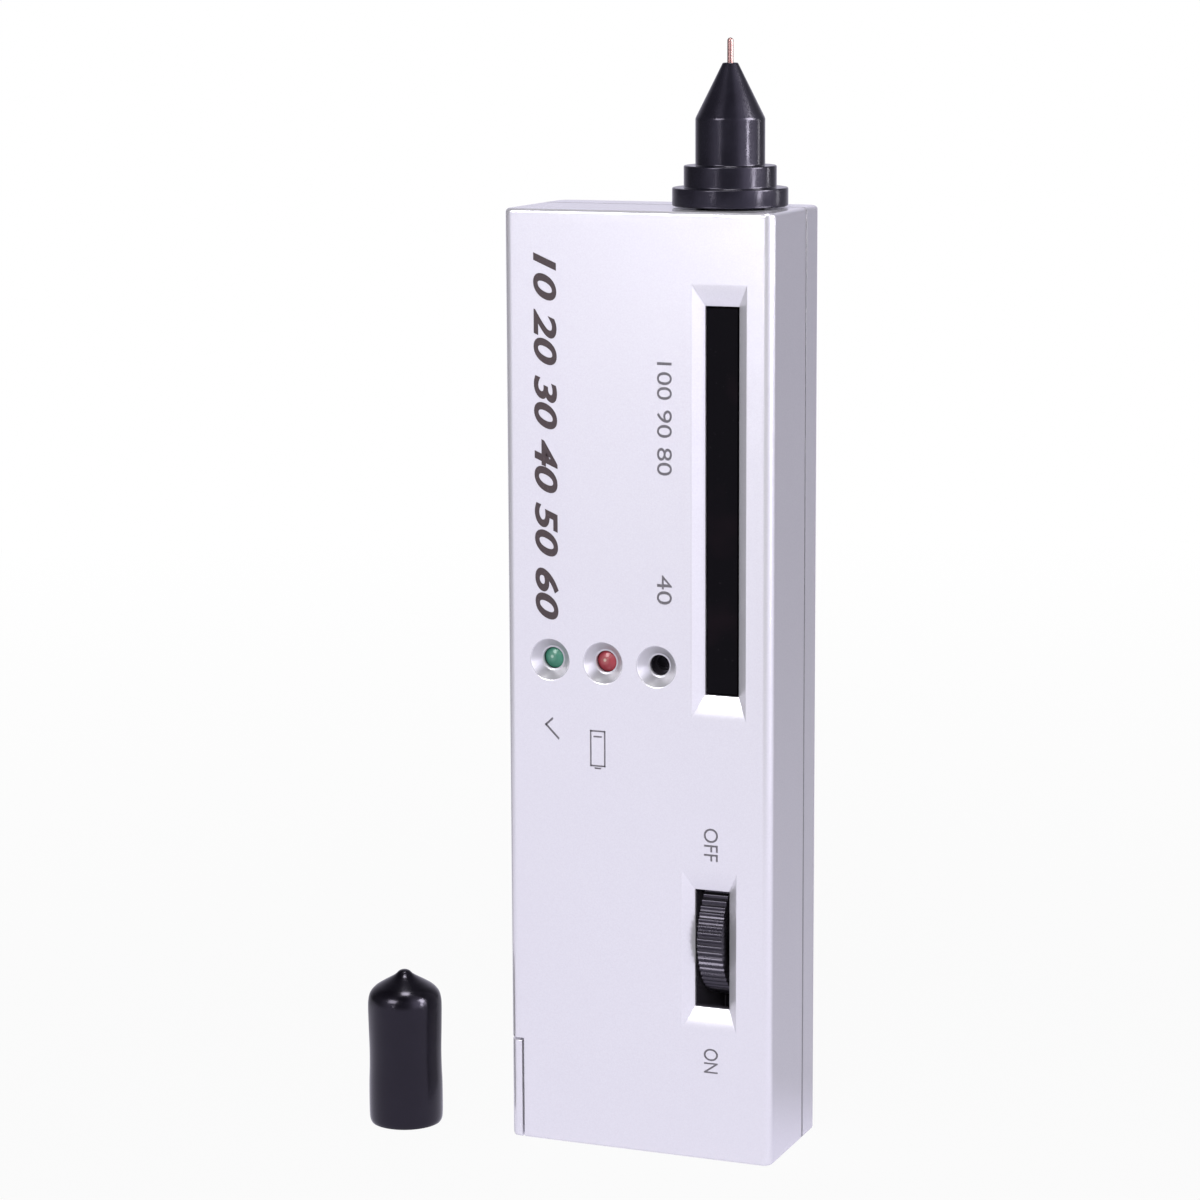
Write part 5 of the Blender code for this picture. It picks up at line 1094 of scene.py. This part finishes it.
def print_marks():
    for name, (words, place) in GREY_WORDS.items():
        printed(name, text_mesh(name, words), GREY_INK, place)
    scale = text_mesh("long_scale", LONG_SCALE, LONG_SCALE_LEAN, LONG_SCALE_WEIGHT)
    printed("long_scale", scale, BROWN_INK, LONG_SCALE_PLACE)
    printed("ready_tick", line_mesh("ready_tick", TICK, TICK_WIDTH), GREY_INK, TICK_PLACE)
    outline = line_mesh("battery_mark", BATTERY_MARK, BATTERY_MARK_WIDTH)
    printed("battery_mark", outline, GREY_INK, BATTERY_MARK_PLACE)


print_marks()


# Floor, world, lamps and camera
def azimuth_level(kit, direction):
    """Brightness of the surroundings by azimuth."""
    split = kit.axes(direction)
    turn = kit.maths("ARCTAN2", split["X"], kit.maths("MULTIPLY", split["Y"], -1.0))
    ramp = kit.add("ShaderNodeValToRGB", {0: kit.span(turn, -math.pi, math.pi, 0.0, 1.0)})
    stops = ramp.color_ramp.elements

    def grey(level):
        share = level / SURROUNDINGS_PEAK
        return (share, share, share, 1)

    # The two ends come first, because adding a stop moves the others
    stops[0].color = grey(SURROUNDINGS[0][1])
    stops[-1].color = grey(SURROUNDINGS[-1][1])
    for azimuth, level in SURROUNDINGS[1:-1]:
        stops.new(azimuth / 360 + 0.5).color = grey(level)
    return kit.maths("MULTIPLY", ramp.outputs["Color"], SURROUNDINGS_PEAK)


def new_tree(owner):
    owner.use_nodes = True
    owner.node_tree.nodes.clear()
    kit = Nodes(owner.node_tree)
    path = kit.add("ShaderNodeLightPath").outputs
    mirrored = kit.maths("MAXIMUM", path["Is Glossy Ray"], path["Is Transmission Ray"])
    return kit, path["Is Camera Ray"], mirrored


def tinted(kit, seen):
    """White where the camera looks, and slightly violet for the light and reflections."""
    return kit.mix(seen, SURROUNDINGS_TINT, (1, 1, 1))


def make_floor():
    """Plain pale floor that keeps a faint shadow and turns white with distance."""
    bm = bmesh.new()
    bmesh.ops.create_grid(bm, x_segments=8, y_segments=8, size=FLOOR_SIZE / 2)
    floor = add_object("floor", mesh_from("floor", bm), (0, 0, -HAIR))
    material = bpy.data.materials.new("floor_white")
    kit, seen, mirrored = new_tree(material)
    place = kit.add("ShaderNodeTexCoord").outputs["Object"]
    distance = kit.vector_maths("LENGTH", place)
    glow = kit.maths("MULTIPLY", seen, kit.span(distance, FLOOR_GLOW_FROM, FLOOR_GLOW_TO, FLOOR_GLOW, 1.0))
    far = kit.span(distance, FLOOR_BLEND_FROM, FLOOR_BLEND, 0.0, 1.0)
    along = kit.axes(place)["Y"]
    beside = kit.span(along, -FLOOR_BESIDE_REACH, FLOOR_BESIDE_REACH, 1.0, FLOOR_BESIDE)
    near = kit.maths("MULTIPLY", beside, kit.span(far, 0.0, 1.0, FLOOR_NEAR_LEVEL, 0.0))
    level = kit.maths("ADD", kit.maths("MULTIPLY", azimuth_level(kit, place), far), near)
    share = kit.maths("MAXIMUM", glow, kit.maths("MULTIPLY", mirrored, level))
    surface = kit.add("ShaderNodeBsdfDiffuse", {"Color": (FLOOR_TONE, FLOOR_TONE, FLOOR_TONE, 1)})
    white = kit.add("ShaderNodeEmission", {"Color": tinted(kit, seen)})
    mix = kit.add("ShaderNodeMixShader", {0: share, 1: surface.outputs[0], 2: white.outputs[0]})
    kit.add("ShaderNodeOutputMaterial", {"Surface": mix.outputs[0]})
    floor.data.materials.append(material)


def make_world():
    """Soft surroundings for light and reflections, and a white backdrop for the camera."""
    world = bpy.data.worlds.new("studio")
    bpy.context.scene.world = world
    kit, seen, mirrored = new_tree(world)
    direction = kit.add("ShaderNodeTexCoord").outputs["Generated"]
    height = kit.axes(direction)["Z"]
    fall = kit.span(height, OVERHEAD_FROM, OVERHEAD_TO, 1.0, OVERHEAD)
    around = kit.maths("MULTIPLY", azimuth_level(kit, direction), fall)
    level = kit.maths("MULTIPLY", around, kit.span(mirrored, 0.0, 1.0, AMBIENT, 1.0))
    inputs = {"Color": tinted(kit, seen), "Strength": kit.maths("MAXIMUM", seen, level)}
    background = kit.add("ShaderNodeBackground", inputs)
    kit.add("ShaderNodeOutputWorld", {"Surface": background.outputs[0]})


def softbox(name, azimuth, distance, bottom, top, width, power, mirrored):
    """Softbox that faces the tester: one either lights it or shows in its gloss."""
    angle = math.radians(azimuth)
    place = Vector((math.sin(angle) * distance, -math.cos(angle) * distance, (bottom + top) / 2))
    light = bpy.data.lights.new(name, "AREA")
    light.shape = "RECTANGLE"
    light.size = width
    light.size_y = top - bottom
    light.energy = power
    lamp = add_object(name, light, place)
    lamp.rotation_euler = (LIGHT_TARGET - place).to_track_quat("-Z", "Y").to_euler()
    lamp.visible_glossy = mirrored
    lamp.visible_diffuse = not mirrored


def make_camera():
    azimuth = math.radians(CAMERA_AZIMUTH)
    down = math.radians(CAMERA_DOWN)
    roll = math.radians(CAMERA_ROLL)
    level = Vector((-math.sin(azimuth), math.cos(azimuth), 0))
    forward = level * math.cos(down) - Vector((0, 0, math.sin(down)))
    right = Vector((math.cos(azimuth), math.sin(azimuth), 0))
    up = right.cross(forward)
    turned_right = right * math.cos(roll) + up * math.sin(roll)
    turned_up = up * math.cos(roll) - right * math.sin(roll)
    data = bpy.data.cameras.new("camera")
    data.lens = CAMERA_LENS
    data.sensor_width = SENSOR_WIDTH
    data.clip_start = 0.01
    data.clip_end = 50
    camera = add_object("camera", data)
    basis = Matrix((turned_right, turned_up, -forward)).transposed().to_4x4()
    camera.matrix_world = Matrix.Translation(Vector(CAMERA_PLACE) * MM) @ basis
    bpy.context.scene.camera = camera


make_floor()
make_world()
for light_name, values in LIGHTS.items():
    softbox(light_name, *values, mirrored=False)
for light_name, values in MIRRORED_BOXES.items():
    softbox(light_name, *values, mirrored=True)
make_camera()
bpy.context.scene.view_settings.view_transform = "Standard"
